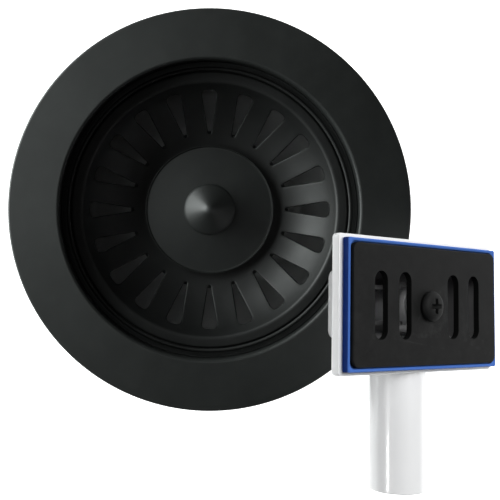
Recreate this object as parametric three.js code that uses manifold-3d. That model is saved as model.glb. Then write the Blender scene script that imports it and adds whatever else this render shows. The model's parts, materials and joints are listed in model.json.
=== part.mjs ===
// A kitchen sink strainer waste with its lift-out basket, and the separate rectangular overflow head
// that comes with it. Millimetres, +Z up. The origin is the centre of the sink seat: the plane where
// the seal under the flange meets the top of the sink.
import * as THREE from 'three';
import { mergeVertices } from 'three/addons/utils/BufferGeometryUtils.js';
import Module from 'manifold-3d';

const wasm = await Module();
wasm.setup();

// ---- fits ---------------------------------------------------------------------------------------
const gap = 0.3;            // clearance left between neighbouring pieces
const facets = 40;          // flat sides that make up a large round
const smallFacets = 20;     // and a small one

// ---- flange and cup -----------------------------------------------------------------------------
const flangeEdge = 1.6;     // thickness at the outer edge
const flangeRise = 1.0;     // how far the flange climbs towards the throat
const flangeRound = 0.5;    // round of its outer edge
const throatR = 42.5;       // inside radius of the throat
const flangeW = 14.5;       // width of the visible flange round it, which makes it 114 mm across
const throatRound = 2;      // radius that turns the flange down into the throat
const sheet = 1.6;          // wall of the cup
const seatDepth = 9.7;      // from the top of the flange down to the ledge that the basket sits on
const ledge = 3.6;          // width of that ledge
const floorR = 29;          // flat floor of the cup
const wallRise = 9;         // height over which the floor curves up into the wall
const wallLean = 1.4;       // and how far that leans in
const windowCount = 6;      // drain windows in the floor
const windowIn = 9;
const windowOut = 18.5;
const windowBar = 4;        // bar left between two windows

// ---- seals and the sink between them ------------------------------------------------------------
const sealT = 1.2;          // seal under the flange
const sealIn = 2.4;         // how far its inner edge stands back from the hole in the sink
const sinkT = 9;            // thickness of the sink that is clamped
const holePlay = 0.9;       // play of the throat in the hole in the sink
const clampT = 3;           // gasket under the sink
const sealShy = 0.6;        // how far both seals stay inside the part that presses them

// ---- basket -------------------------------------------------------------------------------------
const rimPlay = 1;          // radial play of the basket in the throat
const rimT = 1.8;           // thickness of the basket rim
const rimBand = 4.5;        // width of the flat rim
const bowlT = 1.2;          // wall of the bowl
const bowlArc = 21.8;       // radius of the bowl's section
const bowlSteep = 60;       // slope where the bowl meets the rim, degrees
const bowlFlat = 5;         // slope where it meets the hub, degrees
const slotCount = 20;
const slotBeyond = 3.7;     // from the hub to the slot's narrow tip
const slotShy = 1.9;        // how far its wide end stays inside the rim
const slotTip = 0.7;        // radius of the tip
const slotWide = 2.2;       // half the width at the wide end
const slotCorner = 1.5;     // radius of its two wide corners
const hubH = 3.2;
const hubLip = 0.7;         // height of the low rim round the hub
const hubLipW = 2;          // and its width
const knobR = 7.5;
const knobNeckR = 4.4;
const knobLift = 5.2;       // clear height under the knob for the fingers
const knobCone = 5.6;       // height of its conical top
const knobEdge = 0.9;       // height of its edge
const knobCrown = 1.5;      // radius of the blunted tip
const stemR = 2.5;
const sleeveR = 5.5;
const sleeveL = 4;
const holderWall = 1.8;
const holderT = 2;
const stopperR = 25.5;      // outer radius of the stopper seal
const stopperW = 6.2;
const stopperT = 2.4;
const stopperGrip = 2.5;    // how far the seal reaches out past its holder
const nutAcross = 8;        // across the flats of the stem nut
const nutT = 2.8;

// ---- fixing screw -------------------------------------------------------------------------------
const washerR = 6.5;
const washerT = 1;
const screwHeadR = 5.5;
const screwHeadH = 7.2;
const headClear = 1.08;     // clear height between the stem nut and the screw
const socketR = 3.6;        // socket in the screw head that takes the foot of the stem
const socketDepth = 6;
const shankR = 3;
const shankL = 12;
const insertR = 4.5;
const insertL = 10;
const clipT = 1;            // sprung catch ring in the socket
const clipGrip = 0.25;      // how far the ring stands off the stem
const clipDrop = 2.6;       // from the top of the screw down to the ring
const clipBite = 0.4;       // how far the ring reaches into its groove
const clipOpening = 0.5;    // half the opening of the ring, radians

// ---- lower body ---------------------------------------------------------------------------------
const bodyWall = 2.5;
const chamberW = 3.9;       // width of the chamber round the cup
const collarW = 8;          // width of the collar that presses the clamp gasket
const collarT = 3;
const chamberDrop = 6.4;    // straight chamber below the floor of the cup
const funnelDrop = 12;
const spiderT = 3;
const spiderH = 8;
const bossR = 8;
const bossFoot = 3;         // boss left under the insert
const outletR = 23.9;       // outside of the 1 1/2 inch outlet thread
const outletL = 22;
const threadPitch = 3;
const threadDepth = 0.8;
const outletNutWall = 5.1;  // nut outside the thread, grip ribs included
const outletNutL = 16;
const nutLip = 2;
const nutShoulder = 5.4;    // how far its lip reaches in under the end of the outlet
const nutRibs = 16;
const ribDepth = 1.2;       // grip ribs of both nuts
const ribW = 2.6;
const coneSealT = 1.4;

// ---- overflow port ------------------------------------------------------------------------------
const portR = 11.5;
const portWall = 2.5;
const portUnder = 1.7;      // clear height between the collar and the nut
const portL = 8.5;          // length of the port outside the body
const portNutWall = 3;
const portNutL = 10;
const portLip = 1.4;
const portSealT = 1;
const portNutRibs = 12;

// ---- overflow head ------------------------------------------------------------------------------
const plateW = 57;
const plateH = 29.5;
const plateT = 1.6;
const plateProud = 0.6;     // how far the plate stands in front of its gasket
const plateCorner = 2;
const gasketRim = 1.1;      // gasket that shows round the plate
const gasketCorner = 0.5;
const gasketT = 1.9;
const gasketLip = 0.6;      // thin lip of the gasket behind the plate
const flangeRim = 1.0;      // housing flange that shows round the gasket
const housingCorner = 1;
const housingT = 2.4;
const mouthW = 50;          // box behind the flange, at the flange
const mouthH = 22;
const rearW = 34;           // the same box at its back
const rearH = 17.4;
const housingWall = 1.6;
const linerWall = 0.9;
const pipeR = 7.3;
const pipeWall = 1.4;
const pipeBehind = 0.4;     // how far the pipe stays behind the front of the housing
const pipeShy = 1.6;        // and in front of the back of the box
const pipeDrop = 32.2;      // length of pipe below the plate
const grilleSlot = 4.7;     // width of a slot in the plate
const grilleHeight = 16.6;
const grilleInner = 9.7;    // centres of the inner and the outer pair of slots
const grilleOuter = 18.7;
const postR = 5;
const headInsertR = 3;
const headInsertL = 7;
const headInsertShy = 1.5;  // how far the insert and its post stay behind the flange
const faceScrewR = 3.9;
const faceScrewHead = 1.8;
const faceShankR = 2;
const crossArm = 4.4;
const crossWide = 1.1;
const crossDeep = 1.2;
const through = 1;          // how far a cutter runs on past the face it opens

const headOut = -13.1;                   // back of its box, from the edge of the flange, along X
const headAside = -24.6;                 // along Y
const headLift = 7.78;                   // back of its box above the top of the flange
const headTurn = [-4.0, 38.6, -5.0];     // degrees about X, Y and Z, applied in the order Y, X, Z

// ---- levels worked out from the sizes above -----------------------------------------------------
const flangeR = throatR + flangeW;
const flangeUnder = sealT + gap;
const flangeTop = flangeUnder + flangeEdge + flangeRise;
const ledgeZ = flangeTop - seatDepth;
const seatR = throatR - ledge;
const rimR = throatR - rimPlay;
const rimUnder = ledgeZ + gap;
const rimTop = rimUnder + rimT;
const rimIn = rimR - rimBand;
const slotOut = rimIn - slotShy;
const steep = THREE.MathUtils.degToRad(bowlSteep);
const flat = THREE.MathUtils.degToRad(bowlFlat);
const bowlCentreR = rimIn - 0.5 - bowlArc * Math.sin(steep);
const bowlCentreZ = rimTop - 0.9 + bowlArc * Math.cos(steep);
const bowlZ = bowlCentreZ - bowlArc * Math.cos(flat);
const hubR = bowlCentreR + bowlArc * Math.sin(flat) - gap;
const slotIn = hubR + slotBeyond;
const stemHole = stemR + gap;
const hubUnder = bowlZ + gap;
const hubTop = hubUnder + hubH;
const knobUnder = hubTop + gap + knobLift;
const sleeveTop = bowlZ - bowlT - gap;
const holderTop = sleeveTop - sleeveL - gap;
const nutTop = holderTop - holderT - gap;
const headTop = nutTop - nutT - headClear;
const clipZ = headTop - clipDrop;
const headUnder = headTop - screwHeadH;
const washerTop = headUnder - gap;
const floorZ = washerTop - washerT - gap;
const stopperUnder = floorZ + gap;
const holderIn = screwHeadR + 1.7;
const holderFoot = stopperUnder + stopperT + gap;
const sinkHoleR = throatR + sheet + holePlay;
const collarR = sinkHoleR + collarW;
const bodyR = seatR + sheet + chamberW + bodyWall;
const clampTop = -sinkT;
const collarTop = clampTop - clampT - gap;
const portReach = bodyR + portL;
const portSealFrom = portReach + gap;
const portSealTo = portSealFrom + portSealT;
const portBore = portR - portWall;
const portNutR = portR + portNutWall;
const portZ = collarTop - collarT - portNutR - portUnder;
const spiderTop = floorZ - sheet - gap;
const insertTop = spiderTop - gap;
const chamberEnd = floorZ - sheet - chamberDrop;
const funnelEnd = chamberEnd - funnelDrop;
const outletEnd = funnelEnd - outletL;
const outletNutR = outletR + outletNutWall;
const outletNutLip = outletEnd - gap - coneSealT;
const nutLipR = outletR - nutShoulder;
const gasketW = plateW + 2 * gasketRim;
const gasketH = plateH + 2 * gasketRim;
const housingW = gasketW + 2 * flangeRim;
const housingH = gasketH + 2 * flangeRim;
const gasketFront = -plateProud;
const housingFront = gasketFront - gasketT - gap;
const housingBack = housingFront - housingT;
const headInsertTop = housingFront - headInsertShy - gap;
const pipeBack = pipeR + pipeBehind - housingFront;
const boxBack = -pipeBack - pipeR - pipeShy;
const boxDepth = housingBack - boxBack;
const pipeEnd = -plateH / 2 - pipeDrop;
const tilt = headTurn.map(THREE.MathUtils.degToRad);
const headX = flangeR + headOut - boxBack * Math.sin(tilt[1]);
const headZ = flangeTop + headLift - boxBack * Math.cos(tilt[0]) * Math.cos(tilt[1]);

// ---- materials ----------------------------------------------------------------------------------
function finish(color, roughness, metalness) {
  return new THREE.MeshStandardMaterial({ color, roughness, metalness });
}

const satinBlack = finish(0x2b2c2c, 0.45, 0.35);
const bowlBlack = finish(0x1d1e1e, 0.5, 0.35);
const blackPlastic = finish(0x242526, 0.6, 0);
const blackRubber = finish(0x1a1a1b, 0.85, 0);
const greyRubber = finish(0x3b3d3f, 0.85, 0);
const blueSilicone = finish(0x2f66c0, 0.5, 0);
const whitePlastic = finish(0xf2f2f2, 0.3, 0);
const brass = finish(0xb58a45, 0.35, 0.9);
const steel = finish(0xb9bbbd, 0.3, 1);

// ---- solids -------------------------------------------------------------------------------------
// Joins the vertices of a closed geometry and drops the empty triangles at its poles and seams.
function weld(geometry) {
  geometry.deleteAttribute('normal');
  geometry.deleteAttribute('uv');
  const merged = mergeVertices(geometry, 1e-4);
  const source = merged.index.array;
  const kept = [];
  for (let i = 0; i < source.length; i += 3) {
    const [a, b, c] = [source[i], source[i + 1], source[i + 2]];
    if (a !== b && b !== c && c !== a) kept.push(a, b, c);
  }
  merged.setIndex(kept);
  return merged;
}

function solid(geometry) {
  const welded = weld(geometry);
  const vertProperties = new Float32Array(welded.attributes.position.array);
  const triVerts = new Uint32Array(welded.index.array);
  return new wasm.Manifold(new wasm.Mesh({ numProp: 3, vertProperties, triVerts }));
}

function surface(body) {
  const mesh = body.getMesh();
  const geometry = new THREE.BufferGeometry();
  geometry.setAttribute('position', new THREE.BufferAttribute(new Float32Array(mesh.vertProperties), 3));
  geometry.setIndex(new THREE.BufferAttribute(new Uint32Array(mesh.triVerts), 1));
  return geometry;
}

// Turns a closed outline of [radius, height] points about Z.
function revolved(outline, segments = facets) {
  let area = 0;
  outline.forEach(([r, z], i) => {
    const [r2, z2] = outline[(i + 1) % outline.length];
    area += r * z2 - r2 * z;
  });
  const points = (area > 0 ? outline : [...outline].reverse()).map(([r, z]) => new THREE.Vector2(r, z));
  points.push(points[0].clone());
  return new THREE.LatheGeometry(points, segments).rotateX(Math.PI / 2);
}

function tube(outer, inner, low, high, segments = facets) {
  return revolved([[inner, low], [outer, low], [outer, high], [inner, high]], segments);
}

function rod(radius, low, high, segments = smallFacets) {
  const geometry = new THREE.CylinderGeometry(radius, radius, high - low, segments).rotateX(Math.PI / 2);
  return geometry.translate(0, 0, (low + high) / 2);
}

// Points of an arc about a centre, from one angle to another, in degrees.
function arc([centreR, centreZ], radius, from, to, steps) {
  return Array.from({ length: steps + 1 }, (_, i) => {
    const angle = THREE.MathUtils.degToRad(from + (to - from) * i / steps);
    return [centreR + radius * Math.cos(angle), centreZ + radius * Math.sin(angle)];
  });
}

function slab(shape, low, high, curveSegments = 3) {
  const depth = high - low;
  const geometry = new THREE.ExtrudeGeometry(shape, { depth, bevelEnabled: false, curveSegments });
  return geometry.translate(0, 0, low);
}

function roundedRectangle(width, height, radius) {
  const x = width / 2 - radius;
  const y = height / 2 - radius;
  const shape = new THREE.Shape();
  shape.absarc(x, y, radius, 0, Math.PI / 2);
  shape.absarc(-x, y, radius, Math.PI / 2, Math.PI);
  shape.absarc(-x, -y, radius, Math.PI, Math.PI * 1.5);
  shape.absarc(x, -y, radius, Math.PI * 1.5, Math.PI * 2);
  shape.closePath();
  return shape;
}

// The tapered box behind the overflow flange, or a space inside it that is smaller by an inset all round.
function boxStretch(inset, back, front) {
  const geometry = new THREE.BoxGeometry(1, 1, front - back);
  const place = geometry.attributes.position;
  for (let i = 0; i < place.count; i += 1) {
    const along = ((place.getZ(i) > 0 ? front : back) - boxBack) / boxDepth;
    place.setX(i, place.getX(i) * (THREE.MathUtils.lerp(rearW, mouthW, along) - 2 * inset));
    place.setY(i, place.getY(i) * (THREE.MathUtils.lerp(rearH, mouthH, along) - 2 * inset));
  }
  return geometry.translate(0, 0, (back + front) / 2);
}

function hexagon(across) {
  const shape = new THREE.Shape();
  const corner = across / Math.sqrt(3);
  for (let i = 0; i < 6; i += 1) {
    const angle = i * Math.PI / 3;
    shape[i ? 'lineTo' : 'moveTo'](corner * Math.cos(angle), corner * Math.sin(angle));
  }
  shape.closePath();
  return shape;
}

// Turns something made along +Z so that it runs along the port, away from the waste.
function alongPort(geometry) {
  return geometry.rotateX(Math.PI / 2).translate(0, 0, portZ);
}

// Turns something made along +Z so that it runs down the overflow pipe.
function alongPipe(geometry) {
  return geometry.rotateX(Math.PI / 2).translate(0, 0, -pipeBack);
}

// ---- waste --------------------------------------------------------------------------------------
function flangeCup() {
  const edge = flangeRound;
  const edgeTop = flangeUnder + flangeEdge;
  const wallFoot = floorZ + wallRise;
  const outline = [
    [seatR - wallLean, wallFoot], [floorR, floorZ], [shankR + gap, floorZ], [shankR + gap, floorZ - sheet],
    [floorR + sheet / 2, floorZ - sheet], [seatR - wallLean + sheet, wallFoot - sheet / 2],
    [seatR + sheet, ledgeZ - sheet], [throatR + sheet, ledgeZ - sheet], [throatR + sheet, flangeUnder],
    [flangeR - edge, flangeUnder], [flangeR, flangeUnder + edge],
    ...arc([flangeR - edge, edgeTop - edge], edge, 0, 90, 2),
    ...arc([throatR + throatRound, flangeTop - throatRound], throatRound, 90, 180, 4),
    [throatR, ledgeZ], [seatR, ledgeZ],
  ];
  let cup = solid(revolved(outline));
  const half = Math.PI / windowCount;
  const bar = windowBar / 2;
  const window = new THREE.Shape();
  window.absarc(0, 0, windowOut, -half + bar / windowOut, half - bar / windowOut, false);
  window.absarc(0, 0, windowIn, half - bar / windowIn, -half + bar / windowIn, true);
  window.closePath();
  for (let i = 0; i < windowCount; i += 1) {
    const cutter = slab(window, floorZ - 2 * sheet, floorZ + sheet, 4).rotateZ(2 * half * i);
    cup = cup.subtract(solid(cutter));
  }
  return surface(cup);
}

function fixingScrew() {
  const head = rod(screwHeadR, headUnder, headTop, 6);
  const socket = rod(socketR, headTop - socketDepth, headTop + through);
  const grooveR = socketR + clipBite + gap;
  const groove = tube(grooveR, stemR + clipGrip, clipZ - gap, clipZ + clipT + gap, smallFacets);
  const shank = rod(shankR - gap, headUnder - shankL, headUnder + through);
  return surface(solid(head).subtract(solid(socket)).subtract(solid(groove)).add(solid(shank)));
}

// The foot of the stem goes through this ring, which sits in a groove inside the socket.
function catchRing() {
  const outer = socketR + clipBite;
  const inner = stemR + clipGrip;
  const opening = clipOpening;
  const shape = new THREE.Shape();
  shape.absarc(0, 0, outer, opening, Math.PI * 2 - opening, false);
  shape.absarc(0, 0, inner, Math.PI * 2 - opening, opening, true);
  shape.closePath();
  return slab(shape, clipZ, clipZ + clipT, 10);
}

// A stack of ridges that stands in for a thread, on the outside of a tube.
function ridges(radius, from, count) {
  const outline = [];
  for (let i = 0; i < count; i += 1) {
    const low = from + i * threadPitch;
    outline.push([radius - threadDepth, low], [radius, low + threadPitch / 2]);
  }
  outline.push([radius - threadDepth, from + count * threadPitch]);
  return outline;
}

function lowerBody() {
  const inner = bodyR - bodyWall;
  const bore = outletR - threadDepth - bodyWall;
  const threads = Math.floor((outletL - 3) / threadPitch);
  const outside = solid(revolved([
    [0, outletEnd], ...ridges(outletR, outletEnd, threads), [outletR, funnelEnd], [bodyR, chamberEnd],
    [bodyR, collarTop - collarT], [collarR, collarTop - collarT], [collarR, collarTop], [0, collarTop],
  ]));
  const inside = solid(revolved([
    [0, outletEnd - through], [bore, outletEnd - through], [bore, funnelEnd + through],
    [inner, chamberEnd + through], [inner, collarTop + through], [0, collarTop + through],
  ]));
  const spiderLow = spiderTop - spiderH;
  let spider = solid(rod(bossR, spiderTop - insertL - bossFoot, spiderTop));
  for (let i = 0; i < 2; i += 1) {
    const arm = new THREE.BoxGeometry(2 * bodyR, spiderT, spiderH).rotateZ(Math.PI * (i / 2 + 0.25));
    spider = spider.add(solid(arm.translate(0, 0, (spiderTop + spiderLow) / 2)));
  }
  spider = spider.subtract(solid(rod(insertR + gap, spiderTop - insertL - 2 * gap, spiderTop + through)));
  const port = solid(alongPort(rod(portR, inner + bodyWall / 2, portReach)));
  const portHole = solid(alongPort(rod(portBore, inner - bodyWall, portReach + through)));
  return surface(outside.subtract(inside.subtract(spider)).add(port).subtract(portHole));
}

// A round nut with grip ribs outside and a lip that holds its seal.
function ribbedNut(outer, bore, lipBore, length, lip, ribCount) {
  const root = outer - ribDepth;
  let nut = solid(revolved([
    [lipBore, 0], [root, 0], [root, length], [bore, length], [bore, lip], [lipBore, lip],
  ]));
  const rib = new THREE.BoxGeometry(2 * ribDepth, ribW, length - 2 * through).translate(root, 0, length / 2);
  for (let i = 0; i < ribCount; i += 1) {
    nut = nut.add(solid(rib.clone().rotateZ(2 * Math.PI * i / ribCount)));
  }
  return surface(nut);
}

// ---- basket -------------------------------------------------------------------------------------
function teardrop() {
  const shape = new THREE.Shape();
  const corner = slotCorner;
  const spread = Math.atan2(slotWide - slotTip, slotOut - slotIn - slotTip - corner);
  shape.absarc(slotIn + slotTip, 0, slotTip, Math.PI / 2 + spread, Math.PI * 1.5 - spread, false);
  shape.absarc(slotOut - corner, -(slotWide - corner), corner, -Math.PI / 2 - spread, 0, false);
  shape.absarc(slotOut - corner, slotWide - corner, corner, 0, Math.PI / 2 + spread, false);
  shape.closePath();
  return shape;
}

function basketShell() {
  const centre = [bowlCentreR, bowlCentreZ];
  const round = 0.6;
  const outline = [
    [stemHole, bowlZ], ...arc(centre, bowlArc, bowlFlat - 90, bowlSteep - 90, 5),
    [rimIn, rimTop - 0.25], [rimIn + round, rimTop], [rimR - round, rimTop], [rimR, rimTop - round],
    [rimR, rimUnder], [rimIn + 0.8, rimUnder],
    ...arc(centre, bowlArc + bowlT, bowlSteep - 92, bowlFlat - 90, 4), [stemHole, bowlZ - bowlT],
  ];
  let shell = solid(revolved(outline));
  const cutter = slab(teardrop(), bowlZ - 2 * bowlT, rimTop, 2);
  for (let i = 0; i < slotCount; i += 1) {
    shell = shell.subtract(solid(cutter.clone().rotateZ(2 * Math.PI * i / slotCount)));
  }
  return surface(shell);
}

function hubCap() {
  const bevel = 0.5;
  return revolved([
    [stemHole, hubUnder], [hubR - bevel, hubUnder], [hubR, hubUnder + bevel], [hubR, hubTop - hubLip],
    ...arc([hubR - hubLip, hubTop - hubLip], hubLip, 0, 90, 2), [hubR - hubLipW, hubTop - hubLip],
    [hubR / 2, hubTop - hubLip / 3], [stemHole, hubTop],
  ]);
}

function liftKnob() {
  const neckFoot = hubTop + gap;
  const coneFoot = knobUnder + knobEdge;
  const bevel = 0.4;
  return revolved([
    [0, knobUnder], [stemHole, knobUnder], [stemHole, neckFoot], [knobNeckR, neckFoot],
    [knobNeckR, knobUnder], [knobR - bevel, knobUnder], [knobR, knobUnder + bevel], [knobR, coneFoot],
    [knobCrown, coneFoot + knobCone * 0.93], [0, coneFoot + knobCone],
  ], 24);
}

function stopperHolder() {
  const outer = holderIn + holderWall;
  const footR = stopperR - stopperGrip;
  return revolved([
    [stemHole, holderTop - holderT], [holderIn, holderTop - holderT], [holderIn, holderFoot],
    [footR, holderFoot], [footR, holderFoot + holderT], [outer, holderFoot + holderT],
    [outer, holderTop], [stemHole, holderTop],
  ]);
}

function stemNut() {
  const shape = hexagon(nutAcross);
  const hole = new THREE.Path();
  hole.absarc(0, 0, stemHole, 0, Math.PI * 2, true);
  shape.holes.push(hole);
  return slab(shape, nutTop - nutT, nutTop, 10);
}

// ---- overflow head ------------------------------------------------------------------------------
function stadium(x) {
  const r = grilleSlot / 2;
  const y = grilleHeight / 2 - r;
  const path = new THREE.Path();
  path.absarc(x, y, r, 0, Math.PI, false);
  path.absarc(x, -y, r, Math.PI, Math.PI * 2, false);
  path.closePath();
  return path;
}

function facePlate() {
  const shape = roundedRectangle(plateW, plateH, plateCorner);
  [-grilleOuter, -grilleInner, grilleInner, grilleOuter].forEach((x) => shape.holes.push(stadium(x)));
  const hole = new THREE.Path();
  hole.absarc(0, 0, faceShankR + gap, 0, Math.PI * 2, true);
  shape.holes.push(hole);
  return slab(shape, -plateT, 0, 6);
}

function faceScrew() {
  let screw = solid(revolved([
    [0, gap], [faceScrewR, gap], [faceScrewR, gap + faceScrewHead * 0.45],
    [faceScrewR - 0.5, gap + faceScrewHead * 0.8], [faceScrewR - 1.4, gap + faceScrewHead],
    [0, gap + faceScrewHead],
  ], 24));
  const floor = gap + faceScrewHead - crossDeep;
  [[crossArm, crossWide], [crossWide, crossArm]].forEach(([x, y]) => {
    const bar = new THREE.BoxGeometry(x, y, crossDeep * 2).translate(0, 0, floor + crossDeep);
    screw = screw.subtract(solid(bar));
  });
  const shankEnd = housingFront - gap - headInsertL;
  return surface(screw.add(solid(rod(faceShankR, shankEnd, gap + 0.2))));
}

function overflowGasket() {
  const lipFront = gasketFront - gasketT + gasketLip;
  const outline = roundedRectangle(gasketW, gasketH, gasketCorner);
  const outer = slab(outline, gasketFront - gasketT, gasketFront);
  const seat = roundedRectangle(plateW + 2 * gap, plateH + 2 * gap, gasketCorner);
  const mouth = roundedRectangle(mouthW - 2 * housingWall, mouthH - 2 * housingWall, plateCorner);
  const recess = slab(seat, lipFront, gasketFront + through);
  const window = slab(mouth, gasketFront - gasketT - through, gasketFront + through);
  return surface(solid(outer).subtract(solid(recess)).subtract(solid(window)));
}

function overflowHousing() {
  const outline = roundedRectangle(housingW, housingH, housingCorner);
  const flange = solid(slab(outline, housingBack, housingFront));
  const box = solid(boxStretch(0, boxBack, housingBack + housingT / 2));
  const pipe = solid(alongPipe(rod(pipeR, rearH / 4, -pipeEnd)));
  const bore = solid(alongPipe(rod(pipeR - pipeWall, rearH / 4 - through, -pipeEnd + through)));
  const room = solid(boxStretch(housingWall, boxBack + housingWall, housingFront + through));
  const postTop = housingFront - headInsertShy;
  const post = solid(rod(postR, boxBack + housingWall / 2, postTop));
  const postBore = solid(rod(headInsertR + gap, postTop - 3 * gap - headInsertL, housingFront));
  return surface(flange.add(box).add(pipe).subtract(bore).subtract(room).add(post).subtract(postBore));
}

function overflowLiner() {
  const inset = housingWall + gap;
  const back = boxBack + inset;
  const outer = boxStretch(inset, back, housingFront - gap);
  const room = boxStretch(inset + linerWall, back + linerWall, housingFront + through);
  const postHole = rod(postR + gap, boxBack, housingFront);
  const pipeHole = alongPipe(rod(pipeR - pipeWall, postR, mouthH));
  let liner = solid(outer).subtract(solid(room));
  liner = liner.subtract(solid(postHole)).subtract(solid(pipeHole));
  return surface(liner);
}

// ---- assembly -----------------------------------------------------------------------------------
function named(name, geometry, material) {
  const mesh = new THREE.Mesh(weld(geometry), material);
  mesh.name = name;
  return mesh;
}

const waste = new THREE.Group();
waste.add(
  named('flange_cup', flangeCup(), satinBlack),
  named('flange_seal', tube(flangeR - sealShy, sinkHoleR + sealIn, 0, sealT), greyRubber),
  named('clamp_gasket', tube(collarR - sealShy, sinkHoleR - 1, clampTop - clampT, clampTop), blackRubber),
  named('lower_body', lowerBody(), blackPlastic),
  named('screw_washer', tube(washerR, shankR + gap, floorZ + gap, washerTop, smallFacets), steel),
  named('fixing_screw', fixingScrew(), steel),
  named('thread_insert', tube(insertR, shankR, insertTop - insertL, insertTop, smallFacets), brass),
  named('outlet_seal', tube(outletR - 0.9, nutLipR - 1, outletNutLip, outletNutLip + coneSealT), greyRubber),
  named('port_seal',
    alongPort(tube(portR - 0.4, portBore - 0.5, portSealFrom, portSealTo, smallFacets)), greyRubber),
);

const outletNut = named('outlet_nut',
  ribbedNut(outletNutR, outletR + gap, nutLipR, outletNutL, nutLip, nutRibs), blackPlastic);
outletNut.position.z = outletNutLip - gap - nutLip;
waste.add(outletNut);

const portNut = named('port_nut',
  ribbedNut(portNutR, portR + gap, portBore + 0.5, portNutL, portLip, portNutRibs), blackPlastic);
portNut.rotation.x = -Math.PI / 2;
portNut.position.set(0, -(portSealTo + gap + portLip), portZ);
waste.add(portNut);

const basket = new THREE.Group();
basket.add(
  named('catch_ring', catchRing(), steel),
  named('basket_shell', basketShell(), bowlBlack),
  named('hub_cap', hubCap(), bowlBlack),
  named('lift_knob', liftKnob(), satinBlack),
  named('lift_stem', rod(stemR, headTop - socketDepth + 1, knobUnder - gap), steel),
  named('stem_sleeve', tube(sleeveR, stemHole, sleeveTop - sleeveL, sleeveTop, smallFacets), blackPlastic),
  named('stopper_holder', stopperHolder(), blackPlastic),
  named('stopper_seal',
    tube(stopperR, stopperR - stopperW, stopperUnder, stopperUnder + stopperT), blackRubber),
  named('stem_nut', stemNut(), brass),
);

const overflow = new THREE.Group();
overflow.add(
  named('overflow_housing', overflowHousing(), whitePlastic),
  named('overflow_liner', overflowLiner(), blackPlastic),
  named('overflow_gasket', overflowGasket(), blueSilicone),
  named('screw_insert',
    tube(headInsertR, faceShankR + 0.2, headInsertTop - headInsertL, headInsertTop, smallFacets), brass),
  named('face_plate', facePlate(), satinBlack),
  named('face_screw', faceScrew(), satinBlack),
);
overflow.position.set(headX, headAside, headZ);
overflow.rotation.set(...tilt, 'YXZ');

const set = new THREE.Group();
set.add(waste, basket, overflow);
export default set;
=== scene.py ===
"""Looks of a kitchen sink strainer waste: flange, slotted basket, body, and its loose overflow head."""

import json
import logging
import math
from dataclasses import dataclass, replace
from enum import Enum
from typing import Callable, Sequence

import bmesh
import bpy
from mathutils import Matrix, Vector

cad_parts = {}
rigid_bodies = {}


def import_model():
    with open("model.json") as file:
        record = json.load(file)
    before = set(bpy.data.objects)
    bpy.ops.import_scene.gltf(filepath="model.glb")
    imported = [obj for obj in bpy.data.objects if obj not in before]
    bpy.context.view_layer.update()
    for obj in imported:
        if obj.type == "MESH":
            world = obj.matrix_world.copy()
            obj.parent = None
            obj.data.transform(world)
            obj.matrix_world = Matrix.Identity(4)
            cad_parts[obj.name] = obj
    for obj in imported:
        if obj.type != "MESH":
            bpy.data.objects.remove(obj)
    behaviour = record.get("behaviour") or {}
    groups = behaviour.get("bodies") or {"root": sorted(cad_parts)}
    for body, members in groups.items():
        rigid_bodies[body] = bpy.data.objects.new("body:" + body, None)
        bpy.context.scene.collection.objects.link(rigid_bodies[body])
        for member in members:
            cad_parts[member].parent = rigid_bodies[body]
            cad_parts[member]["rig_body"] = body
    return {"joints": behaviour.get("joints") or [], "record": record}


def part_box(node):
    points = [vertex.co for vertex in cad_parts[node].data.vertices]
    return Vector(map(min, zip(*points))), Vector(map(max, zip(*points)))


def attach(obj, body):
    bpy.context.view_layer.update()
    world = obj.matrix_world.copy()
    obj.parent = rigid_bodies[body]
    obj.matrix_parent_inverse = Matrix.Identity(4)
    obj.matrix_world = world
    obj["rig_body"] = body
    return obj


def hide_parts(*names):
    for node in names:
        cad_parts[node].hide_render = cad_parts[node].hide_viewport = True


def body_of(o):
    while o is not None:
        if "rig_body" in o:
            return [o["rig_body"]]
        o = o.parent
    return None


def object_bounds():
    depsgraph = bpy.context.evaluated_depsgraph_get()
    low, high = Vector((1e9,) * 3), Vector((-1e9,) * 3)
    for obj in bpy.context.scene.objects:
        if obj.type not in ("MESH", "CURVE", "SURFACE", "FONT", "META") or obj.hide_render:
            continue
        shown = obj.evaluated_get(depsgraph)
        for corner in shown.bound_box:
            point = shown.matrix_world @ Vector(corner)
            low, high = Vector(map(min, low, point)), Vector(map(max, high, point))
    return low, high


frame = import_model()
CAD_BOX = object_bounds()
log = logging.getLogger("strainer_waste")

MM = 0.001
GAP = 0.3
ROUND = 144
FINE_ROUND = 192
SMALL_ROUND = 72
CORNER_STEP = 15
Point = tuple[float, float]


# ---- places taken from the frame -----------------------------------------------------------------
@dataclass(frozen=True)
class NodeBox:
    """A CAD node's box, in millimetres.

    Args:
        node: the node's name.
    """

    node: str

    @property
    def low(self) -> Vector:
        """Lowest corner."""
        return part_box(self.node)[0] / MM

    @property
    def high(self) -> Vector:
        """Highest corner."""
        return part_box(self.node)[1] / MM

    @property
    def radius(self) -> float:
        """Outside radius about the axis of the waste."""
        return self.high.x

    @property
    def bottom(self) -> float:
        """Height of its lowest point."""
        return self.low.z

    @property
    def top(self) -> float:
        """Height of its highest point."""
        return self.high.z


def joint(name: str) -> dict:
    """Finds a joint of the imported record.

    Args:
        name: the joint's name.

    Returns:
        The joint's entry.
    """
    return next(j for j in frame["joints"] if j["name"] == name)


def mount(name: str) -> dict:
    """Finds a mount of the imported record.

    Args:
        name: the mount's name.

    Returns:
        The mount's entry.
    """
    return next(m for m in frame["record"]["mounts"] if m["name"] == name)


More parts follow.
